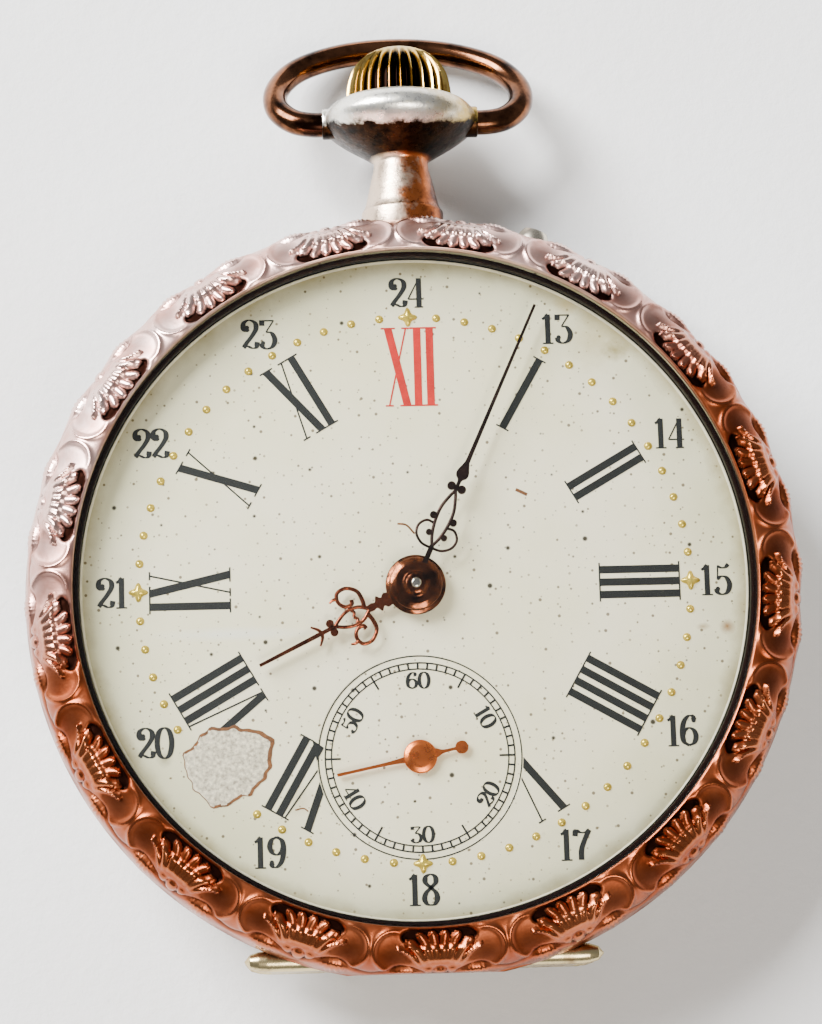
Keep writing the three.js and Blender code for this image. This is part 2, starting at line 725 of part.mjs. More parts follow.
addPart("case_band", caseBand(), silver);
addPart("pendant", pendant(), silver);
addPart("bezel", bezel(), roseGold);
addPart("crystal", crystal(), glass);
addPart("back_cover", backCover(), silver);
addPart("cuvette", cuvette(), silver);
const pinLength = HINGE_HALF_LENGTH + 0.6;
addPart("front_hinge_pin", barAlongX(HINGE_PIN_RADIUS, -pinLength, pinLength, hingeY, bezelParting, 10), steel);
addPart("rear_hinge_pin", barAlongX(HINGE_PIN_RADIUS, -pinLength, pinLength, hingeY, backParting, 10), steel);
const bowMesh = addPart("bow", bow(), roseGold);
bowMesh.position.set(0, bowAxisY, stemLevel);
bowMesh.rotation.x = -BOW_TILT;
addPart("crown", crown(), brass);

// ---------------------------------------------------------------- winding and setting

const clutchLow = windingPinionY - 3.7;
const clutchHigh = windingPinionY - 1.25;
const stemTip = clutchLow - 1.95;

function stem() {
  const top = bowAxisY + BALL_HEIGHT * 0.42 - 0.9 + CROWN_HEIGHT * 0.55;
  return turnedAlongY(
    [
      [0, stemTip],
      [STEM_RADIUS * 0.5, stemTip],
      [STEM_RADIUS * 0.5, stemTip + 0.75],
      [STEM_RADIUS, stemTip + 0.75],
      [STEM_RADIUS, top],
      [0, top],
    ],
    12,
  ).translate(0, 0, stemLevel);
}

// Extrudes along Z, then lays the axis along Y at the stem.
const layOnStem = (geometry) => geometry.rotateX(-Math.PI / 2).translate(0, 0, stemLevel);

function windingPinion() {
  const teeth = toothedShape(WINDING.pinion, WINDING.pinionTip - 0.45, WINDING.pinionTip, 0.6, 0.2);
  teeth.holes.push(hole(STEM_RADIUS + 0.02));
  return layOnStem(plate(teeth, windingPinionY - 1.0, windingPinionY + 0.1));
}

function slidingPinion() {
  const flange = 1.6;
  const groove = 0.95;
  const middle = clutchLow + 0.55;
  return cut(
    turnedAlongY(
      [
        [0, clutchLow],
        [flange, clutchLow],
        [flange, middle],
        [groove, middle],
        [groove, middle + 1.0],
        [flange, middle + 1.0],
        [flange, clutchHigh],
        [0, clutchHigh],
      ],
      16,
    ).translate(0, 0, stemLevel),
    barAlongY(STEM_RADIUS + 0.03, clutchLow - 1, clutchHigh + 1),
  );
}

function settingLever() {
  const low = pinSetLevel - 0.55;
  const high = low + 0.3;
  const pusherEnd = polar(ledgeRadius - 0.6, PIN_SET_DIRECTION);
  const grooveY = clutchLow + 1.05;
  const knee = new THREE.Vector2(3.0, grooveY + 0.05);
  const tip = new THREE.Vector2(-0.2, grooveY);
  return cut(
    join(
      plate(link(settingLeverAt, 0.8, pusherEnd, 0.45), low, high, 4),
      plate(link(settingLeverAt, 0.8, knee, 0.35), low, high, 4),
      plate(link(knee, 0.35, tip, 0.25), low, high, 4),
    ),
    disc(0.35, low - 1, high + 1, settingLeverAt, 10),
  );
}

const crownWheelPhase = 0;
const ratchetPhase = meshPhase(
  crownWheelAt,
  WINDING.crownWheel,
  crownWheelPhase,
  barrelAt,
  WINDING.ratchet,
);
const crownWheelGeometry = wheel({
  teeth: WINDING.crownWheel,
  module: WINDING.module,
  bore: 0.75,
  low: ratchetFace,
  high: bridgeInner - 0.3,
  phase: crownWheelPhase,
});
const ratchetGeometry = wheel({
  teeth: WINDING.ratchet,
  module: WINDING.module,
  bore: 0.62,
  low: ratchetFace,
  high: ratchetFace + RATCHET_THICKNESS,
  phase: ratchetPhase,
});

function clickShape() {
  const nose = polar(ratchetTip + 0.4, THREE.MathUtils.degToRad(92), barrelAt);
  const shape = link(clickAt, 0.9, nose, 0.25);
  shape.holes.push(hole(0.45, clickAt));
  return shape;
}

function clickSpringShape() {
  const root = polar(3.4, THREE.MathUtils.degToRad(-8), clickAt);
  const tip = polar(1.75, THREE.MathUtils.degToRad(125), clickAt);
  const bend = polar(3.0, THREE.MathUtils.degToRad(60), clickAt);
  const thickness = 0.22;
  const shape = new THREE.Shape();
  shape.moveTo(root.x, root.y);
  shape.quadraticCurveTo(bend.x, bend.y, tip.x, tip.y);
  shape.lineTo(tip.x - thickness * 0.4, tip.y + thickness);
  shape.quadraticCurveTo(bend.x + thickness, bend.y + thickness, root.x + 1.3, root.y + 0.2);
  shape.lineTo(root.x + 1.1, root.y - 1.0);
  shape.lineTo(root.x - 0.1, root.y - 0.9);
  return shape;
}

addPart("stem", stem(), steel);
addPart("winding_pinion", windingPinion(), steel);
addPart("sliding_pinion", slidingPinion(), steel);
addPart("pin_set_pusher", pinSetTube(0.45, ledgeRadius - 0.1, bezelRadius + 1.1), silver);
addPart("setting_lever", settingLever(), steel);
addPart("crown_wheel", crownWheelGeometry, steel, crownWheelAt);
addPart("ratchet_wheel", ratchetGeometry, steel, barrelAt);
const clickHigh = ratchetFace + RATCHET_THICKNESS;
addPart("click", plate(clickShape(), ratchetFace, clickHigh, 4), steel);
addPart("click_spring", plate(clickSpringShape(), ratchetFace + 0.05, clickHigh - 0.05, 5), steel);

// ---------------------------------------------------------------- going barrel

const barrelPitch = pitchRadius(BARREL.teeth, BARREL.module);
const drumRadius = barrelPitch - 1.3 * BARREL.module - 0.15;
const drumWall = 0.45;
const arborCore = 1.5;
const barrelPhase = 0;
const toothedLow = barrelBack + 1.1;
const toothedHigh = toothedLow + 0.6;

function barrelDrum() {
  const teeth = pointedShape(BARREL.teeth, BARREL.module, barrelPhase);
  const drum = turned(
    closed([
      [0.75, barrelFront],
      [0.75, barrelFront - drumWall],
      [drumRadius - drumWall, barrelFront - drumWall],
      [drumRadius - drumWall, barrelBack],
      [drumRadius, barrelBack],
      [drumRadius, barrelFront],
    ]),
    28,
  );
  teeth.holes.push(hole(drumRadius - 0.2));
  return join(drum, plate(teeth, toothedLow, toothedHigh, 12));
}

function barrelCover() {
  return turned(
    closed([
      [0.75, barrelBack],
      [drumRadius - drumWall - 0.05, barrelBack],
      [drumRadius - drumWall - 0.05, barrelBack + 0.3],
      [0.75, barrelBack + 0.3],
    ]),
    36,
  );
}

function barrelArbor() {
  const springLow = barrelBack + 0.35;
  const springHigh = barrelFront - drumWall - 0.05;
  return turned(
    [
      [0, ratchetFace + 0.05],
      [0.58, ratchetFace + 0.05],
      [0.58, bridgeFace + 0.02],
      [0.65, bridgeFace + 0.02],
      [0.65, springLow],
      [arborCore, springLow],
      [arborCore, springHigh],
      [0.65, springHigh],
      [0.65, barrelFront - 0.02],
      [0.4, barrelFront - 0.02],
      [0.4, plateFront - 0.05],
      [0, plateFront - 0.05],
    ],
    14,
  );
}

// A flat strip wound in a spiral round the origin.
function spiralShape(inner, outer, turns, thickness, steps) {
  const edge = (offset) =>
    Array.from({ length: steps + 1 }, (_, i) => {
      const share = i / steps;
      return polar(inner + (outer - inner) * share + offset, share * turns * 2 * Math.PI);
    });
  return new THREE.Shape([...edge(0), ...edge(thickness).reverse()]);
}

const springInner = arborCore + 0.25;
const springOuter = drumRadius - drumWall - 0.5;
const springShape = spiralShape(springInner, springOuter, 5, 0.25, 70);
addPart("barrel_drum", barrelDrum(), gilt, barrelAt);
addPart("barrel_cover", barrelCover(), gilt, barrelAt);
addPart("barrel_arbor", barrelArbor(), steel, barrelAt);
addPart(
  "mainspring",
  plate(springShape, barrelBack + 0.45, barrelFront - drumWall - 0.15),
  steel,
  barrelAt,
);

// ---------------------------------------------------------------- going train

const arborEnds = {
  from: bridgeFace + 0.25,
  to: plateFront - 0.35,
  shoulders: [bridgeInner + RUNNING_GAP, plateFront - 0.7],
};
const centrePhase = 0;
const centrePinionPhase = meshPhase(barrelAt, BARREL.teeth, barrelPhase, centreAt, CENTRE.leaves);
const thirdPinionPhase = meshPhase(centreAt, CENTRE.teeth, centrePhase, thirdAt, THIRD.leaves);
const thirdPhase = 0;
const fourthPinionPhase = meshPhase(thirdAt, THIRD.teeth, thirdPhase, fourthAt, FOURTH.leaves);
const fourthPhase = 0;
const escapePinionPhase = meshPhase(fourthAt, FOURTH.teeth, fourthPhase, escapeAt, ESCAPE.leaves);

function trainWheel(gear, level, phase, bore, arms = 4) {
  return wheel({ ...gear, bore, arms, low: level, high: level + WHEEL_THICKNESS, phase });
}

const centreArborRadius = 0.4;
addPart("centre_wheel", trainWheel(CENTRE, centreLevel, centrePhase, 0.62), gilt);
addPart(
  "centre_pinion",
  join(
    turned(
      [
        [0, bridgeFace + 0.2],
        [0.3, bridgeFace + 0.2],
        [0.3, bridgeInner + 0.05],
        [0.58, bridgeInner + 0.05],
        [0.58, centreLevel + WHEEL_THICKNESS + 0.02],
        [0.7, centreLevel + WHEEL_THICKNESS + 0.02],
        [0.7, plateFront - 0.5],
        [centreArborRadius, plateFront - 0.5],
        [centreArborRadius, minuteHandLevel + 0.3],
        [0, minuteHandLevel + 0.3],
      ],
      12,
    ),
    plate(
      pinionShape(CENTRE.leaves, BARREL.module, centrePinionPhase),
      barrelBack,
      toothedHigh + 0.2,
    ),
  ),
  steel,
);
addPart("third_wheel", trainWheel(THIRD, thirdLevel, thirdPhase, 0.32), gilt, thirdAt);
addPart(
  "third_pinion",
  pinionArbor({
    leaves: THIRD.leaves,
    module: CENTRE.module,
    low: centreLevel - 0.15,
    high: centreLevel + WHEEL_THICKNESS + 0.15,
    phase: thirdPinionPhase,
    arborRadius: 0.3,
    ...arborEnds,
  }),
  steel,
  thirdAt,
);
addPart("fourth_wheel", trainWheel(FOURTH, fourthLevel, fourthPhase, 0.27), gilt, fourthAt);
addPart(
  "fourth_pinion",
  pinionArbor({
    leaves: FOURTH.leaves,
    module: THIRD.module,
    low: thirdLevel - 0.1,
    high: thirdLevel + WHEEL_THICKNESS + 0.12,
    phase: fourthPinionPhase,
    arborRadius: 0.25,
    ...arborEnds,
    to: secondsHandLevel + 0.3,
  }),
  steel,
  fourthAt,
);
addPart(
  "escape_pinion",
  pinionArbor({
    leaves: ESCAPE.leaves,
    module: FOURTH.module,
    low: fourthLevel - 0.1,
    high: fourthLevel + WHEEL_THICKNESS + 0.1,
    phase: escapePinionPhase,
    arborRadius: 0.22,
    ...arborEnds,
  }),
  steel,
  escapeAt,
);

// ---------------------------------------------------------------- escapement and balance

function escapeWheel() {
  const shape = toothedShape(ESCAPE.teeth, ESCAPE.tipRadius - 0.75, ESCAPE.tipRadius, 0.4, 0.12, 0, 0.3);
  shape.holes.push(hole(0.25));
  for (let i = 0; i < 4; i++) {
    const from = ((i + 0.17) * Math.PI) / 2;
    const to = ((i + 0.83) * Math.PI) / 2;
    const opening = new THREE.Path();
    opening.absarc(0, 0, 1.5, from, to, false);
    opening.absarc(0, 0, 0.7, to - 0.2, from + 0.2, true);
    shape.holes.push(opening);
  }
  return plate(shape, escapeLevel, escapeLevel + WHEEL_THICKNESS, 3);
}

const stoneSpread = THREE.MathUtils.degToRad(30);
const forkReach = BALANCE_DISTANCE - PALLET_DISTANCE - 0.95;

function palletFork() {
  const low = escapeLevel - 0.05;
  const high = escapeLevel + WHEEL_THICKNESS + 0.05;
  const arbor = disc(0.22, bridgeInner + 0.4, plateBack + 0.0, palletAt, 10);
  const pivots = disc(PIVOT_RADIUS, bridgeInner + 0.2, plateBack + 0.6, palletAt, 10);
  const stones = [1, -1].map((side) => polar(2.98, LEVER_LINE + side * stoneSpread, escapeAt));
  const arms = stones.map((stone) => plate(link(palletAt, 0.4, stone, 0.15), low, high, 3));
  const neck = polar(forkReach - 0.55, LEVER_LINE, palletAt);
  const horns = [1, -1].map((side) => {
    const end = polar(0.42, LEVER_LINE + side * 1.05, polar(forkReach - 0.35, LEVER_LINE, palletAt));
    return plate(link(neck, 0.22, end, 0.12), low, high, 3);
  });
  const lever = plate(link(palletAt, 0.42, neck, 0.2), low, high, 3);
  return join(arbor, pivots, lever, ...arms, ...horns);
}

const rollerLevel = fourthLevel + 0.05;

function balanceWheel() {
  const low = bridgeFace + 0.35;
  const high = bridgeInner - 0.05;
  const rim = new THREE.Shape();
  rim.absarc(0, 0, BALANCE_RADIUS, 0, 2 * Math.PI);
  rim.holes.push(hole(BALANCE_RADIUS - 0.75));
  const arm = new THREE.Shape();
  arm.absarc(0, 0, 0.95, 0, 2 * Math.PI);
  arm.holes.push(hole(0.32));
  const bar = block([-BALANCE_RADIUS + 0.4, BALANCE_RADIUS - 0.4], [-0.45, 0.45], [high - 0.25, high]);
  const centreBore = disc(0.32, low - 1, high + 1, centreAt, 12);
  return cut(join(plate(rim, low, high, 14), plate(arm, high - 0.25, high, 6), bar), centreBore);
}

function balanceStaff() {
  const staff = turned(
    [
      [0, bridgeFace - 0.3],
      [PIVOT_RADIUS, bridgeFace - 0.3],
      [PIVOT_RADIUS, bridgeFace + 0.25],
      [0.29, bridgeFace + 0.25],
      [0.29, rollerLevel],
      [0.95, rollerLevel],
      [0.95, rollerLevel + 0.2],
      [0.29, rollerLevel + 0.2],
      [0.29, plateBack + 0.1],
      [PIVOT_RADIUS, plateBack + 0.1],
      [PIVOT_RADIUS, plateFront - 0.35],
      [0, plateFront - 0.35],
    ],
    14,
  );
  const pin = polar(0.68, LEVER_LINE + Math.PI);
  const impulsePin = disc(0.12, rollerLevel + 0.1, escapeLevel + WHEEL_THICKNESS, pin, 8);
  return join(staff, impulsePin);
}

const hairspringShape = spiralShape(0.75, 3.7, 5, 0.13, 70);
addPart("escape_wheel", escapeWheel(), steel, escapeAt);
addPart("pallet_fork", palletFork(), steel);
addPart("balance_wheel", balanceWheel(), gilt, balanceAt);
addPart("balance_staff", balanceStaff(), steel, balanceAt);
addPart("hairspring", plate(hairspringShape, bridgeFace + 0.25, bridgeFace + 0.55), steel, balanceAt);

// ---------------------------------------------------------------- plate, bridges and cocks

const screwBore = SCREW_SHANK_RADIUS + RUNNING_GAP;
const pivotHole = (at, radius = pivotBore) => disc(radius, 0, 20, at, 8);
const screwSeat = (at, face) => disc(SCREW_HEAD_RADIUS + 0.1, face - 1, face + SCREW_HEAD_HEIGHT, at, 10);
const foot = (from, to) =>
  plate(
    ringSector(
      bridgeRadius - 1.5,
      bridgeRadius,
      THREE.MathUtils.degToRad(from),
      THREE.MathUtils.degToRad(to),
    ),
    bridgeInner - 0.1,
    plateBack - 0.05,
    10,
  );
const balanceClearance = disc(BALANCE_RADIUS + 0.35, 0, 20, balanceAt, 24);
const caseScrewClearance = caseScrewsAt.map((at) => disc(1.25, 0, plateBack - 0.01, at, 10));

function mainPlate() {
  const body = disc(plateRadius, plateBack, plateFront, centreAt, SIDES);
  const post = (at, low, high, radius = 0.3) => disc(radius, low, high, at, 10);
  const joined = join(
    body,
    post(minuteWheelAt, plateFront - 0.5, dialBack - 0.25),
    post(settingWheelAt, plateFront - 0.5, dialBack - 0.45),
    post(settingLeverAt, pinSetLevel - 0.6, plateBack + 0.5),
  );
  const slotHalf = WINDING.pinionTip + 0.25;
  return cut(
    joined,
    disc(barrelPitch + 0.9 * BARREL.module + 0.25, plateBack - 1, plateFront - 0.25, barrelAt, 24),
    disc(1.45, plateBack - 1, toothedHigh + 0.3, centreAt, 16),
    disc(0.95, plateBack - 1, plateFront - 0.35, centreAt, 16),
    block([-slotHalf, slotHalf], [clutchLow - 1.3, windingPinionY + 0.3], [0, plateFront + 0.3]),
    block([-0.75, 0.75], [windingPinionY, plateRadius + 1], [0, stemLevel + STEM_RADIUS + 0.25]),
    barAlongY(STEM_RADIUS * 0.5 + RUNNING_GAP, stemTip - 0.3, clutchLow),
    pivotHole(centreAt, centreArborRadius + RUNNING_GAP),
    pivotHole(thirdAt),
    pivotHole(fourthAt, 0.3),
    disc(0.4, plateBack - 1, plateFront - 0.3, fourthAt, 10),
    disc(0.4, plateBack - 1, plateFront - 0.65, thirdAt, 10),
    disc(0.4, plateBack - 1, plateFront - 0.65, escapeAt, 10),
    pivotHole(escapeAt),
    pivotHole(palletAt),
    pivotHole(balanceAt),
    disc(0.4, plateBack - 1, plateBack + 0.2, balanceAt, 10),
    pivotHole(barrelAt, 0.45),
    ...bridgeScrewsAt.map((at) => pivotHole(at, screwBore)),
    ...caseScrewsAt.map((at) => pivotHole(at, screwBore)),
    pivotHole(cockFootAt, screwBore),
    ...dialFeetAt.map((at) => pivotHole(at, 0.6)),
  );
}

function barrelBridge() {
  const outline = meet(
    disc(bridgeRadius, bridgeFace, bridgeInner, centreAt, SIDES),
    block([-30, 30], [-1.3, 30], [0, 20]),
  );
  const pocket = pitchRadius(WINDING.crownWheel, WINDING.module) + 0.9 * WINDING.module + 0.2;
  return cut(
    join(outline, foot(33, 50), foot(107, 160)),
    balanceClearance,
    ...caseScrewClearance,
    disc(pocket, 0, bridgeInner - 0.25, crownWheelAt, 24),
    barAlongY(WINDING.pinionTip + 0.2, windingPinionY - 1.15, windingPinionY + 0.25),
    pivotHole(barrelAt, 0.7),
    pivotHole(centreAt, 0.35),
    pivotHole(clickAt, 0.35),
    pivotHole(crownWheelAt, 0.35),
    screwSeat(bridgeScrewsAt[0], bridgeFace),
    screwSeat(bridgeScrewsAt[1], bridgeFace),
    pivotHole(bridgeScrewsAt[0], screwBore),
    pivotHole(bridgeScrewsAt[1], screwBore),
  );
}

function trainBridge() {
  const left = escapeAt.x - 1.5;
  const outline = new THREE.Shape([
    new THREE.Vector2(left, escapeAt.y + 1.0),
    new THREE.Vector2(-2.4, -1.65),
    new THREE.Vector2(30, -1.65),
    new THREE.Vector2(30, -30),
    new THREE.Vector2(left, -30),
  ]);
  return cut(
    join(
      meet(disc(bridgeRadius, bridgeFace, bridgeInner, centreAt, SIDES), plate(outline, 0, 20)),
      foot(-96, -22),
    ),
    balanceClearance,
    ...caseScrewClearance,
    pivotHole(thirdAt),
    pivotHole(fourthAt),
    pivotHole(escapeAt),
    screwSeat(bridgeScrewsAt[2], bridgeFace),
    screwSeat(bridgeScrewsAt[3], bridgeFace),
    pivotHole(bridgeScrewsAt[2], screwBore),
    pivotHole(bridgeScrewsAt[3], screwBore),
  );
}

function balanceCock() {
  const low = bridgeFace - 0.5;
  const high = bridgeFace + 0.2;
  const footRadius = 2.0;
  return cut(
    join(
      plate(link(cockFootAt, footRadius, balanceAt, 1.7), low, high),
      disc(footRadius, low, plateBack - 0.05, cockFootAt, 20),
    ),
    pivotHole(balanceAt),
    screwSeat(cockFootAt, low),
    pivotHole(cockFootAt, screwBore),
  );
}

function palletCock() {
  const low = bridgeInner + 0.12;
  const high = bridgeInner + 0.7;
  const across = LEVER_LINE - Math.PI / 2;
  const feet = [1, -1].map((side) => polar(side * 3.0, across, palletAt));
  return cut(
    join(
      plate(link(feet[0], 0.75, feet[1], 0.75), low, high, 4),
      disc(0.74, high - 0.1, plateBack - 0.05, feet[0], 12),
      disc(0.74, high - 0.1, plateBack - 0.05, feet[1], 12),
    ),
    disc(0.3, 0, 20, palletAt, 10),
  );
}

function regulator() {
  const low = bridgeFace - 0.75;
  const high = bridgeFace - 0.55;
  const tip = polar(3.4, THREE.MathUtils.degToRad(-75));
  return cut(
    join(disc(1.35, low, high, centreAt, 16), plate(link(centreAt, 0.6, tip, 0.15), low, high, 3)),
    disc(0.75, low - 1, high + 1, centreAt, 14),
  );
}

addPart("main_plate", mainPlate(), gilt);
addPart("barrel_bridge", barrelBridge(), gilt);
addPart("train_bridge", trainBridge(), gilt);
addPart("balance_cock", balanceCock(), gilt);
addPart("pallet_cock", palletCock(), gilt);
addPart("regulator", regulator(), steel, balanceAt);

// ---------------------------------------------------------------- motion work, dial and hands

const cannonPhase = 0;
const minuteWheelPhase = meshPhase(centreAt, MOTION.cannon, cannonPhase, minuteWheelAt, MOTION.minute);
const minutePinionPhase = 0;
const hourPhase = meshPhase(minuteWheelAt, MOTION.minutePinion, minutePinionPhase, centreAt, MOTION.hour);
const settingPhase = meshPhase(
  minuteWheelAt,
  MOTION.minute,
  minuteWheelPhase,
  settingWheelAt,
  MOTION.setting,
);
const minuteLow = plateFront + FACE_GAP;
const minuteHigh = minuteLow + 0.25;
const hourLow = minuteHigh + 0.2;
const hourHigh = hourLow + 0.2;

function cannonPinion() {
  const sleeve = turned(
    closed([
      [centreArborRadius + 0.03, minuteLow],
      [0.62, minuteLow],
      [0.62, minuteHandLevel],
      [centreArborRadius + 0.03, minuteHandLevel],
    ]),
    14,
  );
  const leaves = pinionShape(MOTION.cannon, MOTION.module, cannonPhase);
  leaves.holes.push(hole(centreArborRadius + 0.03));
  return join(sleeve, plate(leaves, minuteLow, minuteHigh + 0.08, 4));
}

function minuteWheel() {
  const leaves = pinionShape(MOTION.minutePinion, MOTION.module, minutePinionPhase);
  const flat = wheel({
    teeth: MOTION.minute,
    module: MOTION.module,
    bore: 0.35,
    low: minuteLow,
    high: minuteHigh,
    phase: minuteWheelPhase,
  });
  return cut(join(flat, plate(leaves, minuteHigh - 0.1, hourHigh + 0.1)), disc(0.35, 0, 20, centreAt, 10));
}

function hourWheel() {
  const pipe = turned(
    closed([
      [0.7, hourLow],
      [1.0, hourLow],
      [1.0, hourHandLevel + 0.3],
      [0.7, hourHandLevel + 0.3],
    ]),
    16,
  );
  const gear = { teeth: MOTION.hour, module: MOTION.module, bore: 0.85, phase: hourPhase };
  return join(pipe, wheel({ ...gear, low: hourLow, high: hourHigh }));
}

function dial() {
  const face = disc(plateRadius - 0.1, dialBack, dialFront, centreAt, SIDES);
  const feet = dialFeetAt.map((at) => disc(0.5, plateFront - 1.0, dialBack + 0.1, at, 10));
  return cut(
    join(face, ...feet),
    disc(1.25, 0, 20, centreAt, 20),
    disc(0.45, 0, 20, fourthAt, 12),
  );
}

// A pierced hand in plain outline: boss, body and a fine tip, pointing along +Y.
function hand({ bossRadius, bore, bodyWidth, bodyEnd, length, tail = 0 }) {
  const tipHalf = 0.09;
  const outline = new THREE.Shape([
    new THREE.Vector2(-0.3, 0),
    new THREE.Vector2(-0.25, bossRadius + 0.3),
    new THREE.Vector2(-bodyWidth, bossRadius + (bodyEnd - bossRadius) * 0.5),
    new THREE.Vector2(-0.15, bodyEnd),
    new THREE.Vector2(-tipHalf, length),
    new THREE.Vector2(tipHalf, length),
    new THREE.Vector2(0.15, bodyEnd),
    new THREE.Vector2(bodyWidth, bossRadius + (bodyEnd - bossRadius) * 0.5),
    new THREE.Vector2(0.25, bossRadius + 0.3),
    new THREE.Vector2(0.3, 0),
  ]);
  const pieces = [plate(outline, 0, handThickness)];
  if (tail) pieces.push(plate(link(centreAt, 0.16, new THREE.Vector2(0, -tail), 0.3), 0, handThickness, 4));
  return { pieces, boss: (height) => disc(bossRadius, 0, height, centreAt, 24), bore };
}

function finishedHand(settings, bossHeight) {
  const { pieces, boss, bore } = hand(settings);
  return cut(join(boss(bossHeight), ...pieces), disc(bore, -1, 2, centreAt, 14));
}

const hourHand = finishedHand(
  { bossRadius: 1.85, bore: 1.02, bodyWidth: 1.5, bodyEnd: 6.6, length: HOUR_HAND_LENGTH },
  0.35,
);
const minuteHand = finishedHand(
  { bossRadius: 1.1, bore: 0.42, bodyWidth: 0.9, bodyEnd: 8.0, length: MINUTE_HAND_LENGTH },
  0.3,
);
const secondsHand = finishedHand(
  { bossRadius: 1.0, bore: 0.27, bodyWidth: 0.16, bodyEnd: 2.5, length: SECONDS_HAND_LENGTH, tail: 2.9 },
  0.2,
);

addPart("cannon_pinion", cannonPinion(), steel);
addPart("minute_wheel", minuteWheel(), gilt, minuteWheelAt);
addPart("hour_wheel", hourWheel(), gilt);
const settingWheel = wheel({
  teeth: MOTION.setting,
  module: MOTION.module,
  bore: 0.35,
  low: minuteLow,
  high: minuteHigh,
  phase: settingPhase,
});
addPart("setting_wheel", settingWheel, steel, settingWheelAt);
addPart("dial", dial(), enamel);
addPart("hour_hand", hourHand, copper, centreAt, hourHandLevel).rotation.z = HOUR_ANGLE;
addPart("minute_hand", minuteHand, steel, centreAt, minuteHandLevel).rotation.z = MINUTE_ANGLE;
addPart("seconds_hand", secondsHand, copper, fourthAt, secondsHandLevel).rotation.z = SECONDS_ANGLE;

// ---------------------------------------------------------------- screws

const bridgeScrew = () =>
  screw(SCREW_HEAD_RADIUS, SCREW_HEAD_HEIGHT - 0.05, SCREW_SHANK_RADIUS, plateFront - bridgeFace - 0.4);
const screwNames = [
  "barrel_bridge_screw_1",
  "barrel_bridge_screw_2",
  "train_bridge_screw_1",
  "train_bridge_screw_2",
];
screwNames.forEach((name, i) => addPart(name, bridgeScrew(), steel, bridgeScrewsAt[i], bridgeFace));
addPart("balance_cock_screw", bridgeScrew(), steel, cockFootAt, bridgeFace - 0.5);
caseScrewsAt.forEach((at, i) => {
  const caseScrew = screw(1.0, 0.4, SCREW_SHANK_RADIUS, plateFront - backParting - 0.15);
  addPart("case_screw_" + (i + 1), caseScrew, steel, at, backParting - 0.1);
});
const coverScrew = (headRadius, length) => screw(headRadius, 0.2, 0.3, length);
addPart("crown_wheel_screw", coverScrew(1.4, 1.4), steel, crownWheelAt, ratchetFace - 0.25);
addPart("click_screw", coverScrew(0.7, 1.2), steel, clickAt, ratchetFace - 0.25);
addPart("ratchet_screw", coverScrew(1.2, 0.24), steel, barrelAt, ratchetFace - 0.25);

export default watch;
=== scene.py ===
# %% [markdown]
# # An open-face fob watch
#
# The CAD frame gives every piece its place and every joint its axis.
# This lesson lays a finer visual skin over it: chased rose gold, fired enamel, pierced hands and worn silver.
# Each piece is one closed mesh in the frame's own coordinates, so it can ride the CAD body that moves it.

# %% Load the frame
import json
import math

import bmesh
import bpy
import numpy as np
from mathutils import Matrix, Vector


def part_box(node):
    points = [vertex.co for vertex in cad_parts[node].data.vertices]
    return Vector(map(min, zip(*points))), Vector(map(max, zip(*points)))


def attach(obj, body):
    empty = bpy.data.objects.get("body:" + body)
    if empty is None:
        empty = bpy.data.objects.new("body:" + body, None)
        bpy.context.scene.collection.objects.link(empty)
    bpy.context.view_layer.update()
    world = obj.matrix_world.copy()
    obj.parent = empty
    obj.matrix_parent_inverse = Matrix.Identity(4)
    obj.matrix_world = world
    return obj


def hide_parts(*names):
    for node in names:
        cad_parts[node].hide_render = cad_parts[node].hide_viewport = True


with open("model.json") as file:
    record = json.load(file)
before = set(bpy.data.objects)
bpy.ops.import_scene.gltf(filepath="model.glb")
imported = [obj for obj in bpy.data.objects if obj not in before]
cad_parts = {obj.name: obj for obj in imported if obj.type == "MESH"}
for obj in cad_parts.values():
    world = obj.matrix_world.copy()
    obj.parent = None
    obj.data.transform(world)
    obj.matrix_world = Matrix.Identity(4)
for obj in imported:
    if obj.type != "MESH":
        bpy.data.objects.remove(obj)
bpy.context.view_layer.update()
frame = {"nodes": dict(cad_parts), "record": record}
MM = 0.001
TAU = 2 * math.pi

# %% [markdown]
# ## Mesh helpers
#
# Most of a watch case is turned on a lathe, and the rest is drawn wire or sawn sheet.
# Three builders cover all of it: a turned solid, a swept wire, and a flat cut-out with an even thickness.
# They work on whole arrays, because a chased ring has a hundred thousand points.


# %% Mesh helpers
def grid_faces(rows, cols, wrap_rows=False, wrap_cols=True):
    """Four-sided faces between neighbouring points of a rows x cols grid."""
    r = np.arange(rows if wrap_rows else rows - 1)[:, None]
    c = np.arange(cols if wrap_cols else cols - 1)[None, :]
    here, below = r * cols, ((r + 1) % rows) * cols
    right = (c + 1) % cols
    return np.stack([here + c, here + right, below + right, below + c], -1).reshape(-1, 4)


def merge(parts):
    """Several (points, faces) pairs as one pair."""
    points, faces, start = [], [], 0
    for some_points, some_faces in parts:
        points.append(some_points)
        faces += [[start + i for i in face] for face in some_faces]
        start += len(some_points)
    return np.concatenate(points), faces


def rounded(corners, radius=0.1, steps=4):
    """A polyline with each inner corner replaced by a small curve.

    A corner P with neighbours A and B is cut back by `radius` on both sides (or less on a short side)
    and the two cuts are joined by the parabola (1-t)^2 C + 2t(1-t) P + t^2 D.
    """
    corners = np.asarray(corners, float)
    t = np.linspace(0, 1, steps)[:, None]
    out = [corners[:1]]
    for a, p, b in zip(corners[:-2], corners[1:-1], corners[2:]):
        back, on = a - p, b - p
        back_len, on_len = np.linalg.norm(back), np.linalg.norm(on)
        c = p + back / back_len * min(radius, back_len * 0.45)
        d = p + on / on_len * min(radius, on_len * 0.45)
        out.append((1 - t) ** 2 * c + 2 * t * (1 - t) * p + t**2 * d)
    out.append(corners[-1:])
    return np.concatenate(out)


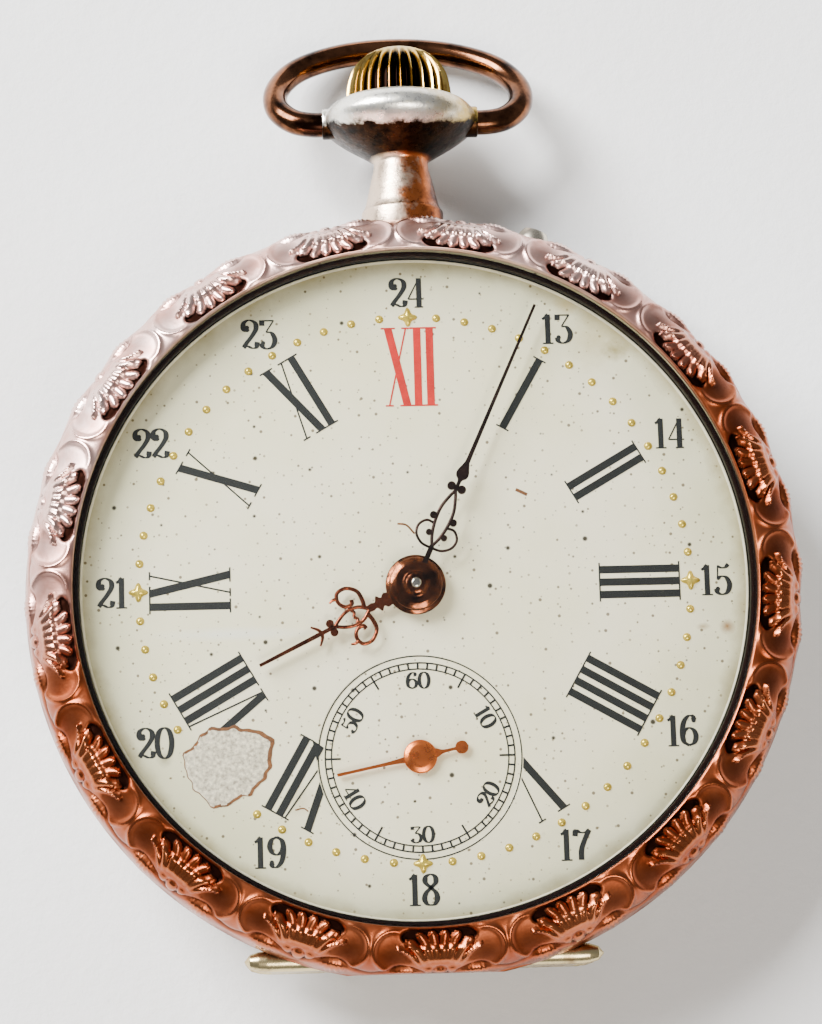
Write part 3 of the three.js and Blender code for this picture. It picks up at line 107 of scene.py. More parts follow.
def turned(profile, sides=192, ring=False, along_y=None):
    """A solid of revolution from (radius, height) points.

    x = r sin a, y = r cos a, z = height, with a clockwise from the 12.
    A ring's profile closes on itself; otherwise flat caps close both ends.
    along_y = z turns the axis into the line x = 0, z = along_y that runs along +Y.
    """
    profile = np.asarray(profile, float)
    a = np.arange(sides) * TAU / sides
    r, h = profile[:, :1], profile[:, 1:] + 0 * a
    points = np.stack([r * np.sin(a), r * np.cos(a), h], -1).reshape(-1, 3)
    faces = grid_faces(len(profile), sides, wrap_rows=ring).tolist()
    if not ring:
        last = (len(profile) - 1) * sides
        faces += [list(range(sides)), list(range(last, last + sides))]
    if along_y is not None:
        points = np.stack([points[:, 0], points[:, 2], along_y + points[:, 1]], -1)
    return points, faces


def swept(path, width, height=None, sides=10, up=(0, 0, 1), ring=False):
    """A wire swept along a path of points.

    Its section is an ellipse with half axes width (across) and height (towards `up`);
    either may be one number or one for each point.
    """
    path = np.asarray(path, float)
    n = len(path)
    along = (np.roll(path, -1, 0) - np.roll(path, 1, 0)) if ring else np.gradient(path, axis=0)
    along /= np.linalg.norm(along, axis=1, keepdims=True)
    across = np.cross(up, along)
    across /= np.linalg.norm(across, axis=1, keepdims=True)
    over = np.cross(along, across)
    width = np.broadcast_to(width, n)[:, None, None]
    height = width if height is None else np.broadcast_to(height, n)[:, None, None]
    b = (np.arange(sides) * TAU / sides)[None, :, None]
    points = path[:, None] + width * np.cos(b) * across[:, None] + height * np.sin(b) * over[:, None]
    faces = grid_faces(n, sides, wrap_rows=ring).tolist()
    if not ring:
        faces += [list(range(sides)), list(range((n - 1) * sides, n * sides))]
    return points.reshape(-1, 3), faces


def flat(outline, low, high):
    """A thin plate with straight walls over a closed outline of (x, y) points."""
    outline = np.asarray(outline, float)
    n = len(outline)
    rows = [np.column_stack([outline, np.full(n, z)]) for z in (low, high)]
    faces = grid_faces(2, n).tolist() + [list(range(n)), list(range(n, 2 * n))]
    return np.concatenate(rows), faces


def strip(path, half_width, low, high):
    """A flat ribbon of varying width along an (x, y) path, as a thin plate."""
    path = np.asarray(path, float)
    along = np.gradient(path, axis=0)
    along /= np.linalg.norm(along, axis=1, keepdims=True)
    side = np.column_stack([-along[:, 1], along[:, 0]]) * np.broadcast_to(half_width, len(path))[:, None]
    n = len(path)
    section = np.stack([path + side, path - side, path - side, path + side], 1)
    z = np.broadcast_to([low, low, high, high], (n, 4))[..., None]
    points = np.concatenate([section, z], -1).reshape(-1, 3)
    faces = grid_faces(n, 4).tolist() + [[0, 1, 2, 3], list(range(4 * n - 4, 4 * n))]
    return points, faces


def curve(knots, steps=8, ring=False):
    """A smooth line through knots: each span is the cubic with its slope half the neighbours' chord."""
    p = np.asarray(knots, float)
    p = np.concatenate([p[-1:], p, p[:2]]) if ring else np.concatenate(
        [2 * p[:1] - p[1:2], p, 2 * p[-1:] - p[-2:-1]]
    )
    a, b, c, d = p[:-3, None], p[1:-2, None], p[2:-1, None], p[3:, None]
    t = np.linspace(0, 1, steps, endpoint=False)[None, :, None]
    line = 0.5 * (2 * b + (c - a) * t + (2 * a - 5 * b + 4 * c - d) * t**2 + (3 * b - a - 3 * c + d) * t**3)
    line = line.reshape(-1, p.shape[1])
    return line if ring else np.concatenate([line, p[-2:-1]])


def piece(name, shape, material, body, stands_for=(), crease=35):
    """One closed mesh in the row frame: outward faces, smooth except at creases, riding a CAD body."""
    points, faces = shape
    mesh = bpy.data.meshes.new(name)
    mesh.from_pydata((np.asarray(points) * MM).tolist(), [], [list(f) for f in faces])
    work = bmesh.new()
    work.from_mesh(mesh)
    bmesh.ops.recalc_face_normals(work, faces=work.faces)
    work.to_mesh(mesh)
    work.free()
    mesh.shade_smooth()
    mesh.set_sharp_from_angle(angle=math.radians(crease))
    mesh.materials.append(material)
    made = bpy.data.objects.new(name, mesh)
    bpy.context.scene.collection.objects.link(made)
    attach(made, body)
    if stands_for:
        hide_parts(*stands_for)
    return made


def point_value(made, name, values):
    """A number kept at every point of a mesh, for its finish to read."""
    made.data.attributes.new(name, "FLOAT", "POINT").data.foreach_set(
        "value", np.asarray(values, np.float32)
    )


# %% [markdown]
# ## Finish helpers
#
# Colours are written the way a paint chart gives them and turned into linear light once.
# An old watch has few clean surfaces, so most finishes are two colours mixed by slow noise,
# with dirt and painted shade in the hollows and bare metal on the heights.


# %% Finish helpers
def linear(code):
    """A '#RRGGBB' colour as linear light: c/12.92 below 0.04045, ((c + 0.055)/1.055)^2.4 above."""
    c = np.array([int(code[i : i + 2], 16) for i in (1, 3, 5)]) / 255
    return (*np.where(c <= 0.04045, c / 12.92, ((c + 0.055) / 1.055) ** 2.4).tolist(), 1.0)


def add(tree, kind, values=(), **settings):
    """One shader node: settings are its options, values its inputs (number, colour or output)."""
    node = tree.nodes.new(kind)
    for key, value in settings.items():
        setattr(node, key, value)
    for key, value in dict(values).items():
        if isinstance(value, bpy.types.NodeSocket):
            tree.links.new(value, node.inputs[key])
        else:
            node.inputs[key].default_value = value
    return node


def mix(tree, factor, first, second):
    """Colour between two others; factor 0 gives the first."""
    node = add(tree, "ShaderNodeMix", {0: factor, 6: first, 7: second}, data_type="RGBA")
    return node.outputs[2]


def steps_of(tree, value, low, high, to_low=0.0, to_high=1.0):
    """A value stretched from low..high to to_low..to_high and held there."""
    node = add(tree, "ShaderNodeMapRange", {"Value": value, 1: low, 2: high, 3: to_low, 4: to_high})
    return node.outputs[0]


def noise(tree, size_mm, detail=4.0, rough=0.6, where=None, stretch=None):
    """Cloudy noise whose blotches are about size_mm across in the object's own coordinates."""
    where = where or add(tree, "ShaderNodeTexCoord").outputs["Object"]
    if stretch:
        where = add(tree, "ShaderNodeMapping", {"Vector": where, "Scale": stretch}).outputs[0]
    node = add(
        tree,
        "ShaderNodeTexNoise",
        {"Vector": where, "Scale": 1 / (size_mm * MM), "Detail": detail, "Roughness": rough},
    )
    return node.outputs["Factor"] if "Factor" in node.outputs else node.outputs[0]


def finish(name):
    """A new material with an empty Principled surface."""
    material = bpy.data.materials.new(name)
    material.use_nodes = True
    tree = material.node_tree
    return material, tree, tree.nodes["Principled BSDF"]


def bumped(tree, surface, height, depth_mm):
    """Fine unevenness: depth_mm is the height a full step of `height` stands for."""
    node = add(tree, "ShaderNodeBump", {"Height": height, "Distance": depth_mm * MM, "Strength": 1.0})
    tree.links.new(node.outputs[0], surface.inputs["Normal"])


def worn_metal(name, clean, stained, rough=0.25, blotch=2.0, cover=(0.45, 0.7), grain=0.004, dirt_and_shade=None):
    """Metal whose clean colour gives way to a stain in blotches; dirt_and_shade paints dirt and shade where
    'relief' is low.
    """
    material, tree, surface = finish(name)
    cloud = noise(tree, blotch, 5.0, 0.65)
    colour = mix(tree, steps_of(tree, cloud, *cover), linear(clean), linear(stained))
    if dirt_and_shade:
        relief = add(tree, "ShaderNodeAttribute", attribute_name="relief").outputs["Fac"]
        colour = mix(tree, steps_of(tree, relief, 0.05, 0.45), linear(dirt_and_shade), colour)
    tree.links.new(colour, surface.inputs["Base Color"])
    surface.inputs["Metallic"].default_value = 1.0
    tree.links.new(steps_of(tree, cloud, 0.3, 0.75, rough * 0.75, rough * 1.6), surface.inputs["Roughness"])
    bumped(tree, surface, noise(tree, 0.35, 3.0), grain)
    return material


def plain(name, colour, metallic=0.0, rough=0.4, blotch=1.5, vary=0.12, grain=0.002):
    """A nearly even finish: the colour drifts a little lighter and darker."""
    material, tree, surface = finish(name)
    base = linear(colour)
    dark = tuple(c * (1 - vary * 2) for c in base[:3]) + (1.0,)
    light = tuple(min(1.0, c * (1 + vary)) for c in base[:3]) + (1.0,)
    cloud = noise(tree, blotch, 4.0)
    tree.links.new(mix(tree, steps_of(tree, cloud, 0.3, 0.7), dark, light), surface.inputs["Base Color"])
    surface.inputs["Metallic"].default_value = metallic
    surface.inputs["Roughness"].default_value = rough
    bumped(tree, surface, noise(tree, 0.2, 3.0), grain)
    return material


# %% [markdown]
# ## Sizes taken over from the CAD
#
# The visual pieces meet the CAD at these sizes, so a piece that turns or opens still clears its neighbours.

# %% Shared sizes, in millimetres
DIAL_FRONT = 9.35
BEZEL_RADIUS = 24.1
BEZEL_LOW = 7.25
BACK_PARTING = 3.6
HINGE_Y = -22.6
HINGE_BEZEL_Z = 7.2
STEM_Z = 5.65
BALL_Y = 30.8
SECONDS_AT = np.array([0.0, -10.55])
MINUTE_TURN, HOUR_TURN, SECONDS_TURN = np.radians([24.4, 243.6, 258.6])
for node in ("bezel", "dial", "crown", "bow"):
    low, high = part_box(node)
    print(node, [round(v / MM, 2) for v in (*low, *high)])


# %% [markdown]
# ## The chased bezel
#
# The ring is struck from sheet and then chased: seventeen clusters of eight rounded leaves, each under a wavy
# border, with two hollow dishes facing each other across a plain field between clusters.
# The relief is a height over the smooth ring: a function of s, the way along the ring from the middle of a
# cluster, and t, the way in from the outer edge.  Each motif is one bell or step added to the rest.
# The same height, kept at every point, later drives the dark in the hollows, partly old dirt and partly
# painted shade, and the wear on the heights.


# %% Relief of the chased ring
UNITS = 17
UNIT_TURN = TAU / UNITS
FIRST_CLUSTER = math.radians(8.6)
PITCH = 8.24


def bell(x, width):
    """exp(-(x/width)^2)"""
    return np.exp(-((x / width) ** 2))


def step(x, soft):
    """0 below zero and 1 above it, with a soft edge: (1 + tanh(x/soft)) / 2"""
    return 0.5 * (1 + np.tanh(x / soft))


def finger(s, t, root, tip, width, bend):
    """A rounded finger of leaf from root to tip, bowed sideways by bend (q^2 - q) on the way.

    q runs 0..1 along it and v across it.  Its half width is width (0.6 + 0.4 q), closed by a round tip,
    and its height is (1 - (v/w)^2)^0.6 (0.1 + 0.9 q^0.7).
    """
    root, tip = np.array(root), np.array(tip)
    along = tip - root
    length = np.hypot(*along)
    along = along / length
    q = ((s - root[0]) * along[0] + (t - root[1]) * along[1]) / length
    inside = np.clip(q, 0, 1)
    v = -(s - root[0]) * along[1] + (t - root[1]) * along[0] - bend * (inside**2 - inside)
    w = width * (0.6 + 0.4 * inside) * np.sqrt(
        np.clip(1 - (np.clip(q - 0.78, 0, 1) / 0.24) ** 2, 0, 1)
    ) + 0.001
    body = np.clip(1 - (v / w) ** 2, 0, 1) ** 0.6 * (q > 0) * (q < 1.02)
    return body * (0.1 + 0.9 * inside**0.7)


def relief_height(s, t):
    """Height in mm over the smooth ring at distance s along and t in from the edge."""
    a = np.abs(s)
    border = 0.16 + 0.62 * np.sin(TAU * s / PITCH) ** 2
    outside = step(border - t, 0.05)
    h = -0.2 * bell(t - border, 0.09)
    lobe = ((a - PITCH / 4) / 0.8) ** 2 + ((t - 0.4) / 0.3) ** 2
    fan = np.arctan2(a - PITCH / 4, 1.5 - t)
    h += outside * (0.22 * np.exp(-lobe) * (1 + 0.3 * np.cos(26 * fan)))
    dish = np.hypot(a - 2.75, (t - 1.8) * 0.92)
    h -= (1 - outside) * 0.17 * step(1.1 - dish, 0.12) * np.clip(1 - (dish / 1.35) ** 2, 0, 1)
    h += (1 - outside) * 0.13 * bell(dish - 1.22, 0.16) * step(a - 2.6, 0.25)
    ground = (np.clip(a - 1.3, 0, 9) / 1.05) ** 2 + ((t - 2.75) / 0.62) ** 2
    h -= 0.26 * step(1 - ground, 0.16)
    fingers = np.zeros_like(h)
    for root, tip, width, bend in (
        ((0.18, 1.25), (0.42, 3.12), 0.37, 0.15),
        ((0.55, 1.2), (1.25, 2.98), 0.36, 0.45),
        ((0.9, 1.05), (2.02, 2.5), 0.33, 0.7),
        ((1.15, 0.95), (2.62, 2.0), 0.17, 0.8),
    ):
        for side in (-1, 1):
            shape = finger(s * side, t, root, tip, width, -bend)
            fingers = np.maximum(fingers, shape)
    h += 0.14 * np.exp(-((s / 1.5) ** 2) - ((t - 1.3) / 0.5) ** 2)
    h += 0.4 * fingers * (1 - 0.35 * outside)
    button = np.hypot(s, t - 0.42)
    h += 0.2 * np.clip(1 - (button / 0.34) ** 2, 0, 1) ** 0.5 - 0.1 * bell(button - 0.42, 0.07)
    for side in (-1, 1):
        petal = np.hypot(s - side * 0.66, (t - 0.58) * 1.3)
        h += 0.12 * np.clip(1 - (petal / 0.3) ** 2, 0, 1) ** 0.5
    inner_rim = step(t - 3.3, 0.04)
    edge = np.clip(t / 0.12, 0, 1)
    return h * (1 - inner_rim) * edge


def bezel_ring(cols=17 * 96, face_rows=44):
    """The bezel: a quarter ellipse r = 21.05 + 3.05 cos q, z = 8.2 + 3.4 sin q, raised by relief.

    Its outline is scalloped by 0.15 cos^2(2 pi s / pitch).  Towards the 12 the ring is a little flatter
    on its outside: r - 0.5 exp(-(a/0.75)^2) (r - 20.95)/3.15.
    """
    q = np.linspace(0, math.pi / 2, face_rows)
    face = np.column_stack([21.05 + 3.05 * np.cos(q), 8.2 + 3.4 * np.sin(q)])
    slope = np.column_stack([np.cos(q) * 3.4, np.sin(q) * 3.05])
    slope /= np.linalg.norm(slope, axis=1, keepdims=True)
    before = np.array([[21.5, BEZEL_LOW], [23.9, BEZEL_LOW], [24.03, 7.33], [24.1, 7.6]])
    after = np.array(
        [[21.0, 11.58], [20.96, 11.5], [20.95, 11.3], [20.95, 10.9], [20.94, 10.5], [20.74, 10.5],
        [20.72, 10.48],
         [20.72, 9.8], [20.76, 9.75], [21.5, 9.75]]
    )
    profile = np.concatenate([before, face, after])
    normal = np.concatenate([np.zeros((len(before), 2)), slope, np.zeros((len(after), 2))])
    a = np.arange(cols) * TAU / cols
    turn = (a - FIRST_CLUSTER + UNIT_TURN / 2) % UNIT_TURN - UNIT_TURN / 2
    s = (turn / UNIT_TURN * PITCH)[None, :]
    t = (BEZEL_RADIUS - profile[:, :1]) * 1.1
    on_face = (np.abs(normal).sum(1) > 0)[:, None]
    h = np.where(on_face, relief_height(s, t + 0 * s), 0.0)
    uneven = 0.02 * np.sin(5 * a + 1) + 0.015 * np.sin(11 * a + 2)
    r = profile[:, :1] + normal[:, :1] * (h + uneven * on_face) * 0.9
    z = profile[:, 1:] + normal[:, 1:] * h * 0.9 + 0 * r
    r = r - 0.15 * np.cos(TAU * s / PITCH) ** 2 * np.clip((r - 23.2) / 0.9, 0, 1) * on_face
    from_twelve = (a + math.pi) % TAU - math.pi
    r = r - 0.5 * np.exp(-((from_twelve / 0.75) ** 2)) * np.clip((r - 20.95) / 3.15, 0, 1)
    r = r - np.where(np.arange(len(profile))[:, None] >= len(profile) - 6, 0.06 * (1 - np.cos(a)), 0)
    points = np.stack([r * np.sin(a), r * np.cos(a), z], -1)
    # Rows off the chased face get fixed relief: the foot half dark and the inner wall down to the dial nearly
    # black, a painted shade.
    off_face_shade = np.concatenate(
        [np.full(len(before), 0.35), np.full(face_rows, 0.6),
        np.array([0.55, 0.5, 0.42, 0.2, 0, 0, 0, 0, 0, 0])]
    )
    relief = np.where(on_face, np.clip(0.5 + h * 1.25, 0, 1), off_face_shade[:, None] + 0 * a)
    return points.reshape(-1, 3), grid_faces(len(profile), cols, wrap_rows=True), relief.reshape(-1)


def clear_hinge_and_neck(points):
    """The ring's three clearances: a hollow over the hinge barrel, a flat at the 6, a saddle at the neck."""
    x, y, z = points.T.copy()
    near = np.abs(x) < 12
    off = np.clip(1 - ((y - HINGE_Y) / 0.78) ** 2, 0, 1)
    over_barrel = HINGE_BEZEL_Z + 0.78 * np.sqrt(off)
    z = np.where(near & (off > 0), np.maximum(z, over_barrel), z)
    z = np.where((np.abs(x) < 11) & (y < -23.2), np.maximum(z, 8.12), z)
    y = np.where(np.abs(x) < 8.2, np.maximum(y, -23.62), y)
    neck = np.clip(1 - (x / 2.8) ** 2, 0, 1)
    z = np.where((neck > 0) & (y > 22.8), np.maximum(z, STEM_Z + 2.8 * np.sqrt(neck)), z)
    return np.column_stack([x, y, z])


# %% [markdown]
# ## Rose gold
#
# Red gold over copper.  Towards the upper left the ring is painted pink and almost white, partly rubbed
# plating and partly a painted reflection of the lamp side; on the side away from the lamp it is orange-brown.
# The ground
# between the leaves is nearly black: old wax there, with painted shade.


# %% Rose gold finish
def rose_gold():
    material, tree, surface = finish("rose_gold_struck_and_chased")
    relief = add(tree, "ShaderNodeAttribute", attribute_name="relief").outputs["Fac"]
    where = add(tree, "ShaderNodeTexCoord").outputs["Object"]
    # Towards the upper left (-0.4, 0.92) the ring turns pink: partly rubbed plating, partly painted
    # reflection of the lamp side.
    painted_light_side = add(
        tree, "ShaderNodeVectorMath", {0: where, 1: (-0.4, 0.92, 0.0)}, operation="DOT_PRODUCT"
    ).outputs["Value"]
    cloud = noise(tree, 3.0, 5.0, 0.65)
    copper = mix(tree, steps_of(tree, cloud, 0.35, 0.65), linear("#8A3F22"), linear("#A85C3A"))
    pink = mix(tree, steps_of(tree, cloud, 0.35, 0.65), linear("#DDA595"), linear("#F3D3CB"))
    metal = mix(tree, steps_of(tree, painted_light_side, 0.004, 0.015), copper, pink)
    # Heights are lighter from wear, and nearly white on the upper left as a painted highlight.
    crest_wear_and_highlight = mix(tree, steps_of(tree, painted_light_side, 0.004, 0.015), linear("#CC7C4C"), linear("#F7DDD2"))
    worn = mix(tree, steps_of(tree, relief, 0.62, 0.95, 0, 0.6), metal, crest_wear_and_highlight)
    # Low relief is painted nearly black: old wax in the chased ground, and painted shade there and down the
    # inner wall.
    wax_and_shade = mix(tree, steps_of(tree, relief, 0.2, 0.45), linear("#160805"), worn)
    tree.links.new(wax_and_shade, surface.inputs["Base Color"])
    surface.inputs["Metallic"].default_value = 1.0
    tree.links.new(steps_of(tree, relief, 0.1, 0.7, 0.55, 0.22), surface.inputs["Roughness"])
    bumped(tree, surface, noise(tree, 0.25, 4.0, 0.7), 0.012)
    return material


ROSE_GOLD = rose_gold()
bezel_points, bezel_faces, bezel_relief = bezel_ring()
bezel_points = clear_hinge_and_neck(bezel_points)
bezel = piece(
    "bezel_chased_ring", (bezel_points, bezel_faces.tolist()), ROSE_GOLD, "bezel", ["bezel"], crease=60
)
point_value(bezel, "relief", bezel_relief)
knuckle_profile = rounded(
    [(0.32, -4.95), (0.6, -4.95), (0.65, -4.9), (0.65, 4.9), (0.6, 4.95), (0.32, 4.95)], 0.04
)
ring_points, ring_faces = turned(knuckle_profile, 32, ring=True)
barrel_points = np.column_stack(
    [ring_points[:, 2], HINGE_Y + ring_points[:, 0], HINGE_BEZEL_Z + ring_points[:, 1]]
)
SILVER = worn_metal("silver_worn_and_tarnished", "#CFC6B4", "#6E5A45", 0.28, 3.0, (0.5, 0.75))
piece("bezel_hinge_knuckle", (barrel_points, ring_faces), SILVER, "bezel", ["bezel"])
print("bezel faces", len(bezel.data.polygons), "relief", bezel_relief.min(), bezel_relief.max())

# %% [markdown]
# ## The glass
#
# The glass is a shallow dome snapped into the bezel's groove.
# A few scratches and a slight haze matter more than its colour: it must leave the enamel clear and still
# catch the sky at its edge, so it is mostly clear with a mirror that grows at grazing angles.


# %% Glass
def clear_glass():
    material = bpy.data.materials.new("glass_thin_domed")
    material.use_nodes = True
    tree = material.node_tree
    tree.nodes.clear()
    shine = add(tree, "ShaderNodeBsdfGlossy", {"Color": linear("#FFFFFF"), "Roughness": 0.03})
    through = add(tree, "ShaderNodeBsdfTransparent", {"Color": linear("#FCFDFC")})
    edge = add(tree, "ShaderNodeFresnel", {"IOR": 1.45})
    weaker = add(tree, "ShaderNodeMath", {0: edge.outputs[0], 1: 0.55}, operation="MULTIPLY")
    both = add(
        tree, "ShaderNodeMixShader", {0: weaker.outputs[0], 1: through.outputs[0], 2: shine.outputs[0]}
    )
    out = add(tree, "ShaderNodeOutputMaterial")
    tree.links.new(both.outputs[0], out.inputs["Surface"])
    return material


def dome_height(r):
    """Height of the glass over its rim: 0.7 (1 - (r/20.9)^2)."""
    return 0.7 * (1 - (r / 20.9) ** 2)


radii = np.linspace(0.05, 20.85, 24)
under = np.column_stack([radii, 10.55 + dome_height(radii)])
over = np.column_stack([radii[::-1], 11.4 + dome_height(radii[::-1])])
GLASS = clear_glass()
piece("crystal_domed_glass", turned(np.concatenate([under, over]), 160), GLASS, "bezel", ["crystal"])
print("glass top", round(float(over[-1, 1]), 2))

# %% [markdown]
# ## Band, back and hinge
#
# The middle of the case is a turned band, and the covers hinge at the 6 on one straight seat.
# That seat is a strip of the band's own metal filed flat, drawn out to a spear point at each end,
# with the two barrels lying in it.  The back is a shallow dish with a thumb lip beside the neck.


# %% Case band with its hinge seat
def with_relief(made, value=1.0):
    point_value(made, "relief", np.full(len(made.data.vertices), value))
    return made


band_profile = rounded(
    [(21.4, 3.62), (23.15, 3.62), (23.42, 4.3), (23.55, 5.4), (23.42, 6.5), (23.15, 7.18), (21.4, 7.18),
    (21.4, 3.62)],
    0.25,
)[:-1]
band_points, band_faces = turned(band_profile, 240, ring=True)
band_points[:, 1] = np.maximum(band_points[:, 1], -23.1)
piece("case_band_turned", (band_points, band_faces), SILVER, "case", ["case_band"])

HINGE_GOLD = worn_metal("silver_gilt_hinge_rubbed", "#CDBB8C", "#7A5A3C", 0.24, 1.6, (0.48, 0.68))
x = np.linspace(-10.9, 10.9, 160)
reach = np.clip((10.9 - np.abs(x)) / 1.6, 0.02, 1) ** 0.8
section = np.array([(-23.22, 3.7), (-23.22, 7.1), (-22.95, 7.18), (-22.1, 7.18), (-22.0, 3.7)])
middle = np.array([-22.7, 5.6])
rows = middle + (section - middle)[None] * np.stack([reach, 0.35 + 0.65 * reach], -1)[:, None]
seat_points = np.concatenate([np.broadcast_to(x[:, None, None], (160, 5, 1)), rows], -1).reshape(-1, 3)
seat_faces = grid_faces(160, 5).tolist() + [list(range(5)), list(range(795, 800))]
piece("hinge_seat_spear_ended", (seat_points, seat_faces), HINGE_GOLD, "case", ["case_band"])


def hinge_barrel(start, end, z, name, body, stands_for, material):
    """One hollow barrel of a hinge along X with broken ends; an end 10 mm out runs on to a closed point."""
    outer, inner = max(start, end, key=abs), min(start, end, key=abs)
    side = math.copysign(1, outer)
    if abs(outer) == 10:
        tip = [
            (0.65, 9.6 * side), (0.6, 10.1 * side), (0.44, 10.65 * side), (0.02, 11.0 * side),
            (0.02, 10.75 * side),
               (0.32, 10.65 * side)]
    else:
        tip = [(0.65, outer - 0.06 * side), (0.6, outer), (0.32, outer)]
    profile = rounded(
        [(0.32, inner), (0.6, inner), (0.65, inner + 0.06 * side), *tip, (0.32, inner)], 0.05
    )[:-1]
    points, faces = turned(profile, 28, ring=True)
    points = np.column_stack([points[:, 2], HINGE_Y + points[:, 0], z + points[:, 1]])
    return piece(name, (points, faces), material, body, stands_for)


for k, (start, end) in enumerate(((-10, -5.06), (5.06, 10))):
    hinge_barrel(
        start, end, HINGE_BEZEL_Z, f"case_front_knuckle_{k + 1}", "case", ["case_band"], HINGE_GOLD
    )
for k, (start, end) in enumerate(((-10, -6.06), (6.06, 10))):
    hinge_barrel(start, end, BACK_PARTING, f"case_rear_knuckle_{k + 1}", "case", ["case_band"], HINGE_GOLD)
for k, (start, end) in enumerate(((-5.98, -2.06), (2.06, 5.98))):
    hinge_barrel(start, end, BACK_PARTING, f"back_knuckle_{k + 1}", "back", ["back_cover"], SILVER)

# %% Back cover with its thumb lip, and the pin-set pusher
back_profile = rounded(
    [(0.02, 0.0), (8, 0.0), (15, 0.35), (20, 1.1), (22.5, 2.1), (23.2, 2.9), (23.4, 3.5), (21.6, 3.5),
    (21.3, 2.6),
     (19.6, 1.75), (14.8, 1.0), (8, 0.62), (0.02, 0.62)],
    0.6, 5,
)
back_points, back_faces = turned(back_profile, 240)
bx, by, bz = back_points.T
angle = np.degrees(np.arctan2(bx, by))
bulge = np.clip(np.sin(np.radians((angle - 18) / 30 * 180)), 0, 1) * (np.abs(angle - 33) < 15) * (bz > 2.7)
radius = np.hypot(bx, by)
stretch = 1 + np.where(radius > 22.4, bulge * 2.0 / 23.4, 0)
hollow = (np.abs(bx) < 9.9) & (np.abs(by - HINGE_Y) < 0.85) & (by < -21.9)
lowered = 3.5 - np.sqrt(np.clip(0.78**2 - (by - HINGE_Y) ** 2, 0, None))
back_points = np.column_stack([bx * stretch, by * stretch, np.where(hollow, np.minimum(bz, lowered), bz)])
back = piece("back_cover_dished", (back_points, back_faces), SILVER, "back", ["back_cover"])

STEEL_DARK = plain("steel_polished_grey", "#8F8B86", 1.0, 0.25)
out = np.array([math.sin(math.radians(20)), math.cos(math.radians(20)), 0])
press_path = lambda start, end, n: out * np.linspace(start, end, n)[:, None] + [0, 0, 4.8]
tip = 0.44 * np.sqrt(np.clip(1 - (np.linspace(-0.2, 1, 10).clip(0) ** 2), 0.02, 1))
piece(
    "pin_set_pusher_button", swept(press_path(20.6, 25.2, 10), tip, tip, 16), STEEL_DARK, "pusher",
    ["pin_set_pusher"]
)
guard_shape = swept(press_path(22.6, 25.1, 8), [0.9, 1.05, 1.08, 1.1, 1.1, 1.08, 1.0, 0.8], None, 20)
piece("pusher_guard", guard_shape, SILVER, "case", ["case_band"])

# %% [markdown]
# ## Neck, ball, crown and bow
#
# The neck is soldered to the band and ends in a flattened ball that hides the winding stem.
# The shoulder of the ball stays bright silver, its underside is painted nearly black as shade, and the right
# of the neck shows copper with painted shade at its far side.  The crown is a dome cut by twenty-eight
# flutes; the bow is one drawn wire sprung into the ball.


# %% Neck and ball
def pendant_metal():
    """Silver above; the ball's underside painted nearly black as shade; copper, then painted shade, on the
    right of the neck.
    """
    material, tree, surface = finish("silver_over_copper_neck")
    where = add(tree, "ShaderNodeTexCoord").outputs["Object"]
    axes = add(tree, "ShaderNodeSeparateXYZ", {"Vector": where})
    cloud = noise(tree, 1.3, 5.0, 0.7)
    fine = noise(tree, 0.35, 4.0, 0.7)
    slope = add(
        tree, "ShaderNodeMath", {0: axes.outputs["Z"], 1: 0.275, 2: axes.outputs["Y"]},
        operation="MULTIPLY_ADD"
    )
    wander = add(
        tree, "ShaderNodeMath", {0: cloud, 1: 0.0016, 2: slope.outputs[0]}, operation="MULTIPLY_ADD"
    )
    drift = add(
        tree, "ShaderNodeMath", {0: cloud, 1: 0.0045, 2: axes.outputs["X"]}, operation="MULTIPLY_ADD"
    )
    silver = mix(tree, steps_of(tree, fine, 0.5, 0.75), linear("#F4F1E8"), linear("#D2CAB2"))
    yellow = mix(tree, steps_of(tree, drift.outputs[0], 0.0035, 0.0065), silver, linear("#C2A35A"))
    painted_shade_brown = mix(tree, steps_of(tree, cloud, 0.4, 0.68), linear("#0C0705"), linear("#3A2414"))
    # Below a tilted line in Y and Z the ball is painted nearly black brown: painted shade on its underside.
    painted_shade_under_ball = steps_of(tree, wander.outputs[0], 0.0331, 0.0334, 1.0, 0.0)
    neck_silver = mix(
        tree, steps_of(tree, drift.outputs[0], 0.0018, 0.0030), linear("#DCC4AC"), linear("#B06234")
    )
    # The right of the neck goes copper, then dark brown at its far side as painted shade.
    neck_copper_and_shade = mix(tree, steps_of(tree, drift.outputs[0], 0.0036, 0.0046), neck_silver, linear("#4A2114"))
    below = steps_of(tree, axes.outputs["Y"], 0.02815, 0.0284, 1.0, 0.0)
    lower = mix(tree, below, painted_shade_brown, neck_copper_and_shade)
    tree.links.new(mix(tree, painted_shade_under_ball, yellow, lower), surface.inputs["Base Color"])
    surface.inputs["Metallic"].default_value = 1.0
    tree.links.new(steps_of(tree, fine, 0.3, 0.7, 0.22, 0.42), surface.inputs["Roughness"])
    bumped(tree, surface, cloud, 0.05)
    return material


PENDANT = pendant_metal()
neck = [
    (2.55, 23.3), (2.6, 24.0), (2.62, 24.75), (2.5, 24.9), (2.35, 25.2), (2.05, 26.5), (1.76, 27.7),
    (1.72, 28.1)
]
ball = curve(
    [(1.9, 28.3), (2.6, 28.75), (3.7, 29.45), (4.6, 30.15), (4.95, 30.7), (4.85, 31.25), (4.45, 31.75),
    (3.9, 32.05)], 5
)
pendant_profile = rounded(
    [(0.02, 23.3), *neck, *ball.tolist(), (3.6, 32.1), (3.5, 31.95), (0.02, 31.9)], 0.12, 3
)
piece("pendant_neck_and_ball", turned(pendant_profile, 128, along_y=STEM_Z), PENDANT, "case", ["pendant"])


